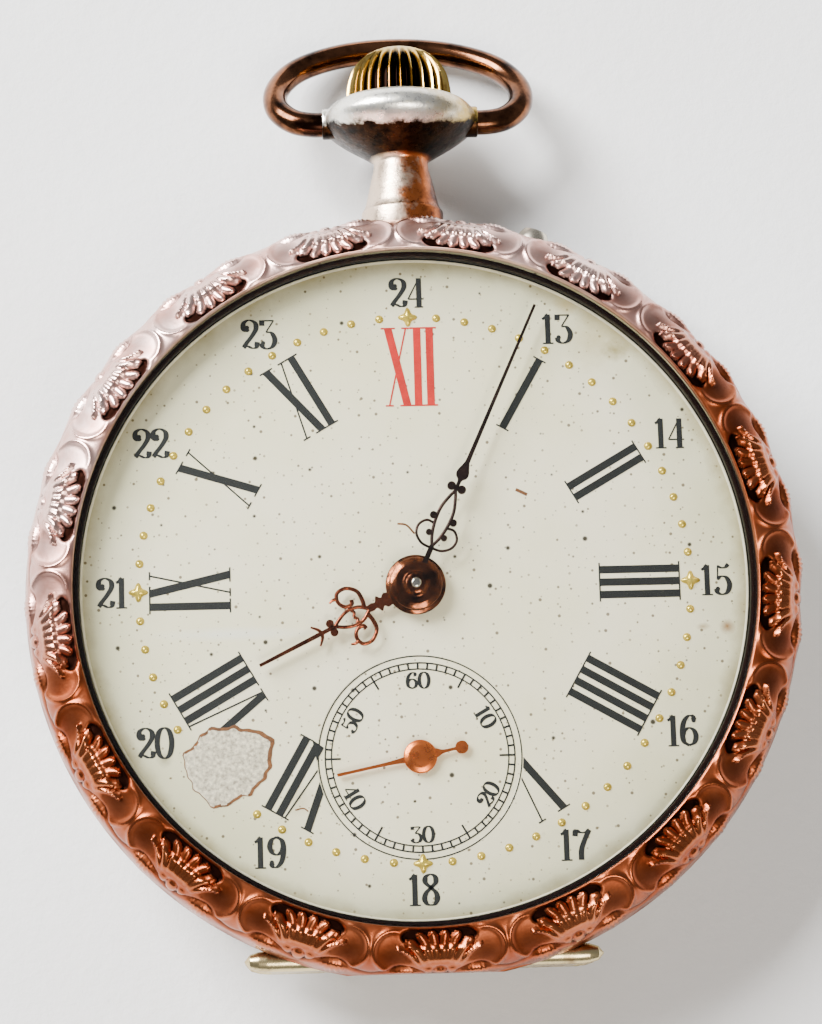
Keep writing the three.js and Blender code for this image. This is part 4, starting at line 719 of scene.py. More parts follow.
# %% Fluted crown
def crown_shape(flutes=28, around=14, rows=36):
    """A dome r = 3.4 (1 - u^3)^0.45 for u from foot to top, cut by wide round flutes between thin ridges.

    ridge = |cos(flutes a / 2)|^6 is 1 on a ridge and 0 in a flute.  The flutes are 0.55 deep and run out
    at the top.
    """
    u = np.linspace(0, 1, rows)[:, None]
    a = np.arange(flutes * around)[None, :] * TAU / (flutes * around)
    dome = 3.4 * np.clip(1 - u**3.0, 0.0001, 1) ** 0.45
    ridge = np.abs(np.cos(flutes * a / 2)) ** 6
    fade = np.clip((0.93 - u) / 0.25, 0, 1) ** 0.5
    depth = 0.55 * fade * (1 - ridge)
    r = np.maximum(dome - depth * np.clip(dome / 1.6, 0, 1), 0.02)
    y = 31.75 + 3.98 * u + 0 * a
    points = np.stack([r * np.sin(a), y, STEM_Z + r * np.cos(a)], -1).reshape(-1, 3)
    n = flutes * around
    faces = grid_faces(rows, n).tolist() + [list(range(n)), list(range((rows - 1) * n, rows * n))]
    return points, faces, (1 - fade * (1 - ridge) + 0 * a).reshape(-1)


# The crown's flutes are painted nearly black: painted shade in the flutes, with some dirt.
CROWN_GOLD = worn_metal("crown_rolled_gold", "#E2BE6C", "#A87B34", 0.14, 1.0, (0.45, 0.7), dirt_and_shade="#070302")
crown_points, crown_faces, crown_relief = crown_shape()
crown = piece("crown_fluted", (crown_points, crown_faces), CROWN_GOLD, "winder", ["crown"], crease=70)
point_value(crown, "relief", np.clip(crown_relief, 0, 1) ** 2.2)
foot = rounded([(0.02, 31.5), (2.2, 31.5), (3.3, 31.55), (3.38, 31.7), (3.3, 31.85), (0.02, 31.85)], 0.05)
with_relief(piece("crown_foot_ring", turned(foot, 96, along_y=STEM_Z), CROWN_GOLD, "winder", ["crown"]))


# %% Bow of drawn wire
lean = math.radians(36)
inward = curve(
    [(-4.1, 0), (-5.6, -0.05), (-6.9, 0.4), (-7.85, 1.7), (-7.9, 3.5), (-6.9, 5.4), (-5.2, 6.7),
    (-2.8, 7.6), (0, 7.9), (2.8, 7.6),
     (5.2, 6.7), (6.9, 5.4), (7.9, 3.5), (7.85, 1.7), (6.9, 0.4), (5.6, -0.05), (4.1, 0)],
    12,
)
bow_line = np.column_stack(
    [inward[:, 0], BALL_Y + inward[:, 1] * math.cos(lean), STEM_Z - inward[:, 1] * math.sin(lean)]
)
BRONZE = worn_metal("bow_bronze_rubbed_pink", "#87583C", "#20100A", 0.16, 2.6, (0.36, 0.62))
piece(
    "bow_drawn_wire", swept(bow_line, 0.8, 0.8, 28, up=(0, math.sin(lean), math.cos(lean))), BRONZE, "bow",
    ["bow"]
)
ear_parts = []
for side in (-1, 1):
    ear = rounded([(0.82, 3.9), (0.98, 3.9), (1.0, 4.9), (0.96, 5.0), (0.82, 5.0), (0.82, 3.9)], 0.04)[:-1]
    ear_points, ear_faces = turned(ear, 48, ring=True)
    ear_parts.append(
        (np.column_stack([side * ear_points[:, 2], BALL_Y + ear_points[:, 0], STEM_Z + ear_points[:, 1]]),
        ear_faces)
    )
piece("pendant_ears", merge(ear_parts), PENDANT, "case", ["pendant"])
print("bow", bow_line.min(0).round(2), bow_line.max(0).round(2))

# %% [markdown]
# ## The enamel dial
#
# White enamel fired on a copper disc, long in use: creamy, greener towards the rim where moisture got in,
# peppered with specks, with brown rings at old damp spots and a faint pale streak across it.
# All of that is colour in the surface, so it is built from distances and noise in the dial's own millimetres.


# %% Enamel
def spot(tree, where, x, y, radius, soft=0.5, wobble=None, squash=(1, 1)):
    """1 at a place on the dial and 0 away from it; wobble makes its edge wander."""
    moved = add(
        tree, "ShaderNodeMapping",
        {"Vector": where, "Location": (-x * squash[0] * MM, -y * squash[1] * MM, 0),
                                            "Scale": (squash[0], squash[1], 0)})
    far = add(tree, "ShaderNodeVectorMath", {0: moved.outputs[0]}, operation="LENGTH").outputs["Value"]
    if wobble is not None:
        far = add(
            tree, "ShaderNodeMath", {0: wobble, 1: radius * 0.9 * MM, 2: far}, operation="MULTIPLY_ADD"
        ).outputs[0]
    edge = radius * (1.45 if wobble is not None else 1.0)
    return steps_of(tree, far, edge * (1 - soft) * MM, edge * MM, 1.0, 0.0)


def times(tree, a, b):
    return add(tree, "ShaderNodeMath", {0: a, 1: b}, operation="MULTIPLY").outputs[0]


def enamel():
    material, tree, surface = finish("enamel_fired_cream_aged")
    where = add(tree, "ShaderNodeTexCoord").outputs["Object"]
    flat_place = add(tree, "ShaderNodeMapping", {"Vector": where, "Scale": (1, 1, 0)}).outputs[0]
    far = add(tree, "ShaderNodeVectorMath", {0: flat_place}, operation="LENGTH").outputs["Value"]
    cloud = noise(tree, 9.0, 4.0, 0.6)
    medium = noise(tree, 2.2, 4.0, 0.6)
    colour = mix(tree, steps_of(tree, cloud, 0.35, 0.68), linear("#FFF6DC"), linear("#F7EFCB"))
    rim_far = add(tree, "ShaderNodeMath", {0: cloud, 1: 0.004, 2: far}, operation="MULTIPLY_ADD").outputs[0]
    colour = mix(tree, steps_of(tree, rim_far, 0.0175, 0.0232, 0, 0.75), colour, linear("#CDCBA8"))
    # A ragged olive-brown darkening in a band near the rim.
    rim_band_far = add(
        tree, "ShaderNodeMath", {0: medium, 1: 0.0016, 2: far}, operation="MULTIPLY_ADD"
    ).outputs[0]
    colour = mix(tree, steps_of(tree, rim_band_far, 0.0205, 0.0217, 0, 0.75), colour, linear("#8A7440"))
    # Beyond 20.64 mm the dial is painted nearly black: painted shade in the seat under the bezel.
    colour = mix(tree, steps_of(tree, far, 0.02064, 0.0207), colour, linear("#0C0705"))
    ragged = noise(tree, 0.7, 4.0, 0.7)
    for x, y, radius, strength, code, squash in (
        (11.7, 15.4, 2.2, 0.5, "#B7A56A", (1, 1)),
        (12.9, 14.7, 1.0, 0.8, "#8B7A3C", (1, 1.2)),
        (9.9, 17.6, 0.8, 0.5, "#B59A5A", (1, 1)),
        (19.2, -2.9, 0.55, 0.95, "#8A5A26", (1, 1)),
        (17.7, -2.9, 0.5, 0.7, "#9A7A46", (1, 2)),
        (-15.6, -10.3, 0.6, 0.6, "#6E6642", (1, 1)),
        (-7.5, -13.0, 1.1, 0.5, "#B9A88A", (1, 1)),
    ):
        here = spot(tree, where, x, y, radius, 0.7, ragged, squash)
        colour = mix(tree, times(tree, here, strength), colour, linear(code))
    streak = spot(tree, where, -11.2, -2.7, 5.6, 0.8, None, (1, 11))
    colour = mix(tree, times(tree, streak, 0.6), colour, linear("#F8F7F0"))
    peppered = colour
    for size, share, reach, strength, code in (
        (1.0, 0.5, 0.1, 0.8, "#4E3A22"), (2.9, 0.55, 0.05, 0.95, "#1C140E"),
                                               (0.6, 0.55, 0.13, 0.6, "#6F5A34")):
        cells = add(
            tree, "ShaderNodeTexVoronoi", {"Vector": where, "Scale": 1 / (size * MM)},
            voronoi_dimensions="2D"
        )
        chance = add(tree, "ShaderNodeSeparateColor", {0: cells.outputs["Color"]})
        chosen = steps_of(tree, chance.outputs[0], share, share + 0.02)
        near = add(
            tree, "ShaderNodeMath", {0: chance.outputs[1], 1: reach}, operation="MULTIPLY"
        ).outputs[0]
        inside = add(
            tree, "ShaderNodeMath", {0: near, 1: cells.outputs["Distance"]}, operation="SUBTRACT"
        ).outputs[0]
        speck = steps_of(tree, inside, -0.02, 0.01, 0.0, strength)
        peppered = mix(tree, times(tree, chosen, speck), peppered, linear(code))
    sub = add(
        tree, "ShaderNodeMapping", {"Vector": where, "Location": (0, 10.55 * MM, 0), "Scale": (1, 1, 0)}
    ).outputs[0]
    sub_far = add(tree, "ShaderNodeVectorMath", {0: sub}, operation="LENGTH").outputs["Value"]
    sunk = steps_of(tree, sub_far, 0.00615, 0.0063)
    tree.links.new(peppered, surface.inputs["Base Color"])
    surface.inputs["Roughness"].default_value = 0.22
    surface.inputs["Specular IOR Level"].default_value = 0.35
    both = add(tree, "ShaderNodeMath", {0: medium, 1: 0.15, 2: sunk}, operation="MULTIPLY_ADD").outputs[0]
    bumped(tree, surface, both, 0.06)
    return material


ENAMEL = enamel()
dial_profile = rounded(
    [(0.45, 8.7), (20.7, 8.7), (20.85, 8.8), (20.87, 9.2), (20.8, 9.32), (20.6, 9.35), (0.9, 9.35),
    (0.45, 9.3),
                        (0.45, 8.7)], 0.05, 3)[:-1]
dial = piece("dial_enamel", turned(dial_profile, 200, ring=True), ENAMEL, "case", ["dial"])
REFLECTOR = plain("reflector_ring_pale_brass", "#E6DEC6", 0.0, 0.4)
ring_profile = rounded(
    [(20.48, 9.3), (20.64, 9.3), (20.64, 9.5), (20.58, 9.56), (20.48, 9.42), (20.48, 9.3)], 0.03, 3
)[:-1]
reflector_points, reflector_faces = turned(ring_profile, 200, ring=True)
reflector_points[:, 1] += 0.08
piece("dial_edge_ring", (reflector_points, reflector_faces), REFLECTOR, "case", ["dial"])
print("dial faces", len(dial.data.polygons))

# %% [markdown]
# ## Numerals, dots and tracks
#
# The numerals are printed in enamel paint: thick strokes, hair-thin strokes and thin bars at head and foot.
# Painted enamel stands a few hundredths of a millimetre proud, so each stroke is a very thin plate.
# The hours turn with the dial, feet to the centre; the hours 13 to 24 stand upright.

# %% Roman numerals
INK_LOW, INK_HIGH = 9.33, 9.372
HOUR_FOOT, HOUR_HEAD = 11.45, 16.3
THICK, THIN = 0.47, 0.1


def numeral_strokes(letters):
    """Strokes (x at foot, x at head, width) of a numeral, and its whole width."""
    strokes, at = [], 0.0
    for letter in letters:
        if letter == "I":
            strokes.append((at + 0.25, at + 0.25, THICK))
            at += 0.78
        elif letter == "V":
            strokes += [(at + 1.12, at + 0.25, THICK), (at + 1.3, at + 1.8, THIN)]
            at += 1.95
        else:
            strokes += [(at + 1.4, at + 0.3, THICK * 1.05), (at + 0.3, at + 1.4, THIN)]
            at += 1.85
    return strokes, at - 0.28


def clear_of_seconds(quad, radius=6.32):
    """A stroke's four corners (two at the foot, two at the head), its foot cut back to the seconds circle.

    Along an edge foot + u (head - foot) the cut is the larger root of |p(u) - centre|^2 = radius^2.
    """
    feet, heads = quad[[0, 1]], quad[[3, 2]]
    if (np.linalg.norm(quad - SECONDS_AT, axis=1) < radius).sum() in (3, 4):
        return None
    d, f = heads - feet, feet - SECONDS_AT
    a, b, c = (d * d).sum(1), 2 * (d * f).sum(1), (f * f).sum(1) - radius**2
    u = np.where(c < 0, (-b + np.sqrt(np.maximum(b * b - 4 * a * c, 0))) / (2 * a), 0)[:, None]
    feet = feet + u * d
    return np.array([feet[0], feet[1], heads[1], heads[0]])


def numeral(letters, hour):
    """A numeral as thin plates, its foot towards the dial's centre, at its hour's angle."""
    strokes, width = numeral_strokes(letters)
    low, high = HOUR_FOOT, HOUR_HEAD
    quads = [
        [(f - w / 2, low), (f + w / 2, low), (h + w / 2, high), (h - w / 2, high)] for f, h, w in strokes
    ]
    for f, h, w in strokes:
        reach = w / 2 + 0.2
        quads.append([(f - reach, low - 0.09), (f + reach, low - 0.09), (f + reach, low), (f - reach, low)])
        quads.append(
            [(h - reach, high), (h + reach, high), (h + reach, high + 0.09), (h - reach, high + 0.09)]
        )
    turn = math.radians(30 * hour)
    parts = []
    for k, quad in enumerate(quads):
        quad = np.array(quad) - [width / 2, 0]
        x = quad[:, 0] * math.cos(turn) + quad[:, 1] * math.sin(turn)
        y = -quad[:, 0] * math.sin(turn) + quad[:, 1] * math.cos(turn)
        clear = clear_of_seconds(np.column_stack([x, y]))
        if clear is not None:
            parts.append(flat(clear, INK_LOW, INK_HIGH + 0.001 * k))
    return parts


INK = plain("enamel_paint_green_black", "#060A0B", 0.0, 0.5, 0.8, 0.3)
RED = plain("enamel_paint_red", "#C9160F", 0.0, 0.5, 0.8, 0.12)
NAMES = {1: "I", 2: "II", 3: "III", 4: "IIII", 5: "V", 7: "VII", 8: "VIII", 9: "IX", 10: "X", 11: "XI"}
roman = [part for hour, letters in NAMES.items() for part in numeral(letters, hour)]
piece("dial_roman_hours", merge(roman), INK, "case", ["dial"], crease=20)
piece("dial_roman_twelve", merge(numeral("XII", 12)), RED, "case", ["dial"], crease=20)
print("stroke plates", len(roman))

# %% [markdown]
# ## Arabic figures
#
# The figures are written with a broad pen held level: a stroke is thick where it runs up or down and thin
# where it runs across.  So each figure is only its middle line, and the width follows from the direction.

# %% Arabic figures
FIGURES = {
    "0": [("ring",
    [(0.3, 1.0), (0.13, 0.87), (0.06, 0.5), (0.13, 0.13), (0.3, 0.0), (0.47, 0.13), (0.54, 0.5),
    (0.47, 0.87)])],
    "1": [("line", [(0.3, 1.0), (0.3, 0.0)]), ("line", [(0.12, 0.84), (0.22, 0.9), (0.32, 1.0)]),
          ("bar", [(0.12, 0.0), (0.48, 0.0)])],
    "2": [("line",
    [(0.25, 0.7), (0.16, 0.62), (0.07, 0.72), (0.1, 0.91), (0.28, 1.0), (0.47, 0.9), (0.5, 0.7),
    (0.37, 0.46),
                    (0.17, 0.2), (0.08, 0.05)]),
          ("line", [(0.08, 0.05), (0.2, 0.1), (0.38, 0.03), (0.5, 0.07), (0.54, 0.24)]),
          ("dot", [(0.2, 0.74)])],
    "3": [("bar", [(0.1, 0.97), (0.5, 0.97)]), ("bar", [(0.5, 0.98), (0.24, 0.58)]),
    ("line", [(0.1, 0.99), (0.1, 0.8)]),
          ("line", [(0.24, 0.58), (0.42, 0.54), (0.53, 0.32), (0.46, 0.09), (0.28, 0.0), (0.13, 0.06),
          (0.08, 0.2)]),
          ("dot", [(0.13, 0.2)])],
    "4": [("line", [(0.4, 1.0), (0.4, 0.0)]), ("bar", [(0.4, 0.98), (0.03, 0.28)]),
    ("bar", [(0.03, 0.28), (0.56, 0.28)]),
          ("bar", [(0.26, 0.0), (0.54, 0.0)])],
    "5": [("bar", [(0.14, 0.97), (0.12, 0.5)]),
    ("line", [(0.13, 0.96), (0.27, 0.9), (0.4, 0.92), (0.5, 1.02)]),
          ("line", [(0.12, 0.52), (0.25, 0.61), (0.42, 0.56), (0.52, 0.33), (0.44, 0.08), (0.27, 0.0),
          (0.12, 0.06), (0.07, 0.2)]),
          ("dot", [(0.12, 0.19)])],
    "6": [("line",
    [(0.48, 0.84), (0.42, 0.97), (0.28, 0.97), (0.13, 0.78), (0.07, 0.45), (0.11, 0.14), (0.28, 0.0)]),
          ("line", [(0.28, 0.0), (0.45, 0.09), (0.52, 0.3), (0.45, 0.5), (0.29, 0.58), (0.14, 0.48),
          (0.08, 0.34)]),
          ("dot", [(0.46, 0.83)])],
    "7": [("line", [(0.06, 0.78), (0.09, 0.97), (0.24, 0.9), (0.4, 0.9), (0.53, 0.98)]),
          ("line", [(0.53, 0.98), (0.36, 0.62), (0.26, 0.32), (0.25, 0.0)])],
    "8": [("ring",
    [(0.3, 1.0), (0.14, 0.92), (0.12, 0.74), (0.3, 0.56), (0.46, 0.4), (0.5, 0.2), (0.42, 0.04), (0.3, 0.0),
                    (0.16, 0.04), (0.08, 0.2), (0.14, 0.4), (0.3, 0.56), (0.46, 0.74), (0.44, 0.92)])],
}
FIGURES["9"] = [(kind, [(0.6 - x, 1 - y) for x, y in knots]) for kind, knots in FIGURES["6"]]


def figure_plates(text, centre, height, turn=0.0, thick=0.18, thin=0.045, wide=1.0):
    """A number as thin plates; the pen's half width is thin/2 + (thick - thin)/2 |sin(direction)|^1.6."""
    advance = [0.46 if c == "1" else 0.6 for c in text]
    shift = [0.07 if c == "1" else 0.0 for c in text]
    at, parts, level = -sum(advance) / 2, [], 0
    for c, step_on, back_by in zip(text, advance, shift):
        for kind, knots in FIGURES[c]:
            knots = np.array(knots, float)
            if kind == "dot":
                a = np.arange(12) * TAU / 12
                outline = knots[0] + 0.075 * np.column_stack([np.cos(a), np.sin(a)])
                shape = flat(outline, 0, 1)
            else:
                line = curve(knots, 6, ring=kind == "ring") if len(knots) > 2 else np.linspace(*knots, 3)
                if kind == "ring":
                    line = np.concatenate([line, line[:1]])
                along = np.gradient(line, axis=0)
                lean = np.abs(along[:, 1]) / np.linalg.norm(along, axis=1)
                half = thin / 2 + (0.0 if kind == "bar" else (thick - thin) / 2) * lean**1.6
                shape = strip(line, half, 0, 1)
            points, faces = shape
            x = (points[:, 0] + at - back_by) * height * wide
            y = (points[:, 1] - 0.5) * height
            z = np.where(points[:, 2] > 0.5, INK_HIGH + 0.0015 * level, INK_LOW)
            cos, sin = math.cos(turn), math.sin(turn)
            parts.append(
                (np.column_stack([centre[0] + x * cos + y * sin, centre[1] - x * sin + y * cos, z]), faces)
            )
            level += 1
        at += step_on
    return parts


outer = []
for hour in range(13, 25):
    turn = math.radians(30 * hour)
    centre = 18.62 * np.array([math.sin(turn), math.cos(turn)])
    outer += figure_plates(str(hour), centre, 1.85)
piece("dial_afternoon_hours", merge(outer), INK, "case", ["dial"], crease=20)
small = []
for seconds, turn in ((60, 0), (10, 60), (20, -60), (30, 0), (40, 60), (50, -60)):
    around = math.radians(6 * seconds)
    centre = SECONDS_AT + 4.72 * np.array([math.sin(around), math.cos(around)])
    small += figure_plates(str(seconds), centre, 0.98, math.radians(turn), 0.18, 0.07, 1.25)
piece("dial_seconds_figures", merge(small), INK, "case", ["dial"], crease=20)
print("figure strokes", len(outer) + len(small))

# %% Seconds track
around = np.linspace(0, TAU, 181)
circle = np.column_stack([np.sin(around), np.cos(around)])
track = [strip(SECONDS_AT + radius * circle, width, INK_LOW, INK_HIGH + 0.001 * k)
         for k, (radius, width) in enumerate(((5.42, 0.042), (5.8, 0.045), (6.22, 0.04)))]
for k in range(60):
    turn = math.radians(6 * k)
    out_dir = np.array([math.sin(turn), math.cos(turn)])
    inner, wide = (4.85, 0.06) if k % 10 == 5 else (5.4, 0.06)
    track.append(
        strip(SECONDS_AT + np.outer(np.linspace(inner, 5.8, 3), out_dir), wide, INK_LOW, INK_HIGH + 0.004)
    )
piece("dial_seconds_track", merge(track), INK, "case", ["dial"], crease=20)

# %% [markdown]
# ## Gold dots and stars
#
# Sixty minute marks are drops of pale gold paillon under a bead of flux, so each is a tiny bright dome.
# At 12, 3, 6 and 9 the bead is a four-pointed star.

# %% Minute beads
BEAD = plain("gold_bead_pale", "#E6C955", 0.55, 0.2, 0.4, 0.15)


def bead(centre, radius, height=0.16, around=14, rows=4, star=0.0, turn=0.0):
    """A dome z = height (1 - u^2)^0.7; with star > 0 its outline r (1 + star cos 4a) has four points."""
    a = np.arange(around) * TAU / around
    u = np.linspace(1, 0.08, rows)[:, None]
    outline = radius * ((1 - star) + star * np.abs(np.cos(2 * a)) ** 3)
    x, y = centre[0] + u * outline * np.sin(a + turn), centre[1] + u * outline * np.cos(a + turn)
    z = DIAL_FRONT - 0.02 + (height + 0.02) * (1 - u**2) ** 0.7 + 0 * a
    points = np.stack([x, y, z], -1).reshape(-1, 3)
    return points, grid_faces(rows, around).tolist() + [
        list(range(around)), list(range((rows - 1) * around, rows * around))
    ]


CHIP_AT = np.array([-11.75, -10.7])
beads = []
for minute in range(60):
    turn = math.radians(6 * minute)
    where = 17.04 * np.array([math.sin(turn), math.cos(turn)])
    if np.hypot(*(where - CHIP_AT)) < 2.9:
        continue
    if minute % 15 == 0:
        beads.append(bead(where, 0.64, 0.22, 32, 5, 0.42))
    else:
        beads.append(bead(where, 0.28))
piece("dial_minute_beads", merge(beads), BEAD, "case", ["dial"], crease=60)

# %% [markdown]
# ## The chip
#
# Between 7 and 8 a flake of glaze has gone.  What shows is the chalky ground coat, speckled with rust and
# outlined in brown where dirt creeps under the broken edge.


# %% Chip in the glaze
def chipped(name, centre, size, seed, material, low, high, rough=0.07, n=90):
    """An uneven flake: outline r(a) = 1 + a few cosines with random phases, drawn at the given half sizes."""
    rng = np.random.default_rng(seed)
    a = np.arange(n) * TAU / n
    r = 1 + sum(rough / k**0.6 * np.cos(k * a + rng.uniform(0, TAU)) for k in (2, 3, 5, 8, 13, 21))
    outline = np.array(centre) + np.column_stack([size[0] * r * np.cos(a), size[1] * r * np.sin(a)])
    inner = np.array(centre) + (outline - centre) * 0.93
    rows = [
        np.column_stack([o, np.full(n, z)]) for o,
        z in ((outline, low), (outline, high), (inner, high + 0.012))
    ]
    faces = grid_faces(3, n).tolist() + [list(range(n)), list(range(2 * n, 3 * n))]
    return piece(name, (np.concatenate(rows), faces), material, "case", ["dial"], crease=30)


GROUND = plain("ground_coat_chalky", "#E9D9C2", 0.0, 0.6, 0.22, 0.3, 0.06)
RUST = plain("rust_line_under_glaze", "#7A4A24", 0.0, 0.6, 0.3, 0.3)
chipped("dial_chip_rust_edge", CHIP_AT + [0.05, 0.03], (2.62, 2.46), 5, RUST, 9.33, 9.378, 0.11)
chipped("dial_chip_ground_coat", CHIP_AT, (2.5, 2.35), 5, GROUND, 9.33, 9.384, 0.11)


# %% Hairs on the dial
def hair(knots, width=0.05):
    return strip(curve(knots, 6), width, INK_LOW, INK_HIGH)


hairs = [
    hair([(-1.0, 3.95), (-0.45, 3.85), (0.05, 3.3)], 0.06),
    hair([(6.4, 5.95), (6.8, 5.75), (7.1, 5.6)], 0.1),
         hair([(-7.7, -13.6), (-7.2, -13.5), (-6.9, -13.7)], 0.04)]
piece("dial_hairs", merge(hairs), RUST, "case", ["dial"])

# %% [markdown]
# ## The hands
#
# Pierced hands of the Louis XV pattern: sawn from thin sheet, filed into scrolls and domed by hand.
# Each scroll is a wire here, flattened to the sheet's thickness, because the filed edges are round.
# The minute hand is steel let down to a dark brown; the hour and seconds hands are gilt copper.


# %% Hands
def placed(parts, centre, turn, level):
    """Pieces drawn along +v (from the boss to the tip), turned clockwise by `turn` about their boss."""
    points, faces = merge(parts)
    u, v = points[:, 0], points[:, 1]
    x = centre[0] + u * math.cos(turn) + v * math.sin(turn)
    y = centre[1] - u * math.sin(turn) + v * math.cos(turn)
    return np.column_stack([x, y, points[:, 2] + level]), faces


def wire(knots, width, tall=0.1, mirror=False, steps=7, ring=False, level=0.0):
    """One filed scroll, or a mirrored pair of them."""
    line = curve(knots, steps, ring=ring)
    widths = np.interp(
        np.linspace(0, 1, len(line)), np.linspace(0, 1, np.size(width)), np.atleast_1d(width)
    )
    out = []
    for side in (1, -1) if mirror else (1,):
        path = np.column_stack([line[:, 0] * side, line[:, 1], np.full(len(line), level)])
        out.append(swept(path, widths, np.minimum(widths, tall), 8, ring=ring))
    return out


def leaf_plate(knots, low=-0.1, high=0.1):
    """A solid swelling of the hand: a flat cut-out mirrored about the hand's middle line."""
    half = curve(knots, 5)
    return [flat(np.concatenate([half, half[::-1] * [-1, 1]]), low, high)]


def knobs(across, along, radius, low=-0.1, high=0.1):
    """A mirrored pair of small filed discs."""
    a = np.arange(20) * TAU / 20
    disc = radius * np.column_stack([np.cos(a), np.sin(a)])
    return [flat(disc + [side * across, along], low, high) for side in (-1, 1)]


def boss(radii_heights, sides=64):
    return [turned(rounded(radii_heights, 0.06, 4), sides)]


MINUTE_STEEL = plain("steel_let_down_dark_brown", "#33221F", 0.85, 0.32, 1.0, 0.3)
COPPER = worn_metal("copper_gilt_rubbed", "#9C5238", "#3E1B12", 0.2, 1.2, (0.42, 0.66))
BOSS = worn_metal("copper_boss_brown", "#8A5034", "#22100A", 0.14, 1.0, (0.38, 0.62))
COPPER_BRIGHT = worn_metal("copper_gilt_bright", "#DA7238", "#9A4420", 0.28, 1.0, (0.5, 0.72))

minute = leaf_plate(
    [(0.085, 19.1), (0.1, 15), (0.12, 11), (0.14, 8.5), (0.2, 8.05), (0.39, 7.5), (0.34, 7.2),
    (0.13, 6.95), (0.12, 6.3)]
)
minute += knobs(0.34, 6.47, 0.27)
minute += wire(
    [(0.0, 6.3), (0.2, 5.8), (0.42, 5.0), (0.43, 4.1), (0.27, 3.2), (0.0, 2.5)], [0.1, 0.11, 0.1],
    mirror=True
)
minute += knobs(0.66, 4.35, 0.23) + knobs(0.5, 3.25, 0.2)
minute += wire(
    [(0.42, 3.9), (0.92, 3.9), (1.27, 3.45), (1.18, 2.88), (0.72, 2.48), (0.2, 2.4), (0.0, 2.5)], 0.085,
    mirror=True
)
minute += leaf_plate([(0.12, 2.6), (0.16, 2.3), (0.15, 1.2)])
minute_parts = placed(minute, (0, 0), MINUTE_TURN, 10.6)
piece("minute_hand_pierced", minute_parts, MINUTE_STEEL, "minute_arbor", ["minute_hand"], crease=50)
cap = boss(
    [(0.02, 10.42), (1.5, 10.42), (1.62, 10.5), (1.62, 10.62), (1.2, 10.75), (1.0, 10.72), (0.8, 10.74),
    (0.62, 10.9),
            (0.42, 10.95), (0.02, 10.95)])
with_relief(piece("minute_hand_boss", merge(cap), BOSS, "minute_arbor", ["minute_hand"]))
BRIGHT = plain("steel_pin_bright", "#D8D2CC", 1.0, 0.12)
pin = boss([(0.02, 10.9), (0.3, 10.9), (0.34, 11.0), (0.26, 11.1), (0.02, 11.14)], 32)
piece("minute_hand_pin", merge(pin), BRIGHT, "minute_arbor", ["minute_hand"])

hour = leaf_plate([(0.1, 10.8), (0.12, 8.5), (0.13, 7.0), (0.12, 5.6)])
hour += wire([(0.0, 6.5), (0.3, 6.62), (0.66, 6.95)], [0.12, 0.1, 0.06], mirror=True)
hour += knobs(0.3, 5.8, 0.25)
hour += wire([(0.0, 5.6), (0.3, 5.1), (0.5, 4.5), (0.42, 3.8), (0.0, 3.2)], [0.12, 0.11, 0.13], mirror=True)
hour += wire(
    [(0.25, 3.45), (0.75, 3.35), (1.35, 3.42), (1.8, 3.95), (1.75, 4.55), (1.25, 4.75), (0.8, 4.5),
    (0.75, 4.05), (1.0, 3.95)],
             [0.14, 0.12, 0.12, 0.13], mirror=True)
hour += wire([(1.45, 4.7), (1.5, 5.0), (1.42, 5.25)], [0.13, 0.1, 0.06], mirror=True)
hour += wire([(0.0, 4.3), (0.25, 4.15), (0.42, 4.3)], 0.1, mirror=True)
hour += leaf_plate(
    [(0.2, 3.3), (0.24, 3.0), (0.2, 2.75), (0.5, 2.55), (0.28, 2.3), (0.45, 2.05), (0.3, 1.5)]
)
hour_parts = placed(hour, (0, 0), HOUR_TURN, 10.07)
with_relief(piece("hour_hand_pierced", hour_parts, COPPER, "hour_arbor", ["hour_hand"], crease=50))
wide = boss(
    [(0.02, 9.9), (1.7, 9.9), (1.86, 10.0), (1.86, 10.16), (1.6, 10.26), (1.4, 10.24), (0.02, 10.24)]
)
with_relief(piece("hour_hand_boss", merge(wide), BOSS, "hour_arbor", ["hour_hand"]))

seconds = leaf_plate(
    [(0.09, 5.2), (0.1, 5.0), (0.09, 4.2), (0.1, 2.6), (0.13, 1.6), (0.2, 0.9), (0.3, 0.2)], -0.07, 0.07
)
seconds += leaf_plate([(0.2, 0.0), (0.3, -0.9), (0.12, -1.4), (0.09, -2.0), (0.12, -2.3)], -0.07, 0.07)
seconds += leaf_plate(
    [(0.02, -2.18), (0.3, -2.32), (0.4, -2.6), (0.3, -2.88), (0.02, -3.02)], -0.065, 0.075
)
seconds_parts = placed(seconds, SECONDS_AT, SECONDS_TURN, 9.7)
with_relief(
    piece("seconds_hand_pierced", seconds_parts, COPPER_BRIGHT, "seconds_arbor", ["seconds_hand"],
    crease=50)
)
hub_points, hub_faces = turned(
    rounded([(0.02, 9.62), (0.95, 9.62), (1.05, 9.7), (1.0, 9.82), (0.7, 9.92), (0.3, 9.95), (0.02, 9.95)],
                                       0.06, 4), 48)
hub_points[:, :2] += SECONDS_AT
with_relief(
    piece("seconds_hand_hub", (hub_points, hub_faces), COPPER_BRIGHT, "seconds_arbor", ["seconds_hand"])
)
print("hands done")

# %% [markdown]
# ## The movement
#
# The wheels and plates keep their CAD shapes.  They show only when the covers are open, so they need
# the right metals and not new shapes: frosted gilt plates, polished steel, blued springs and screws.

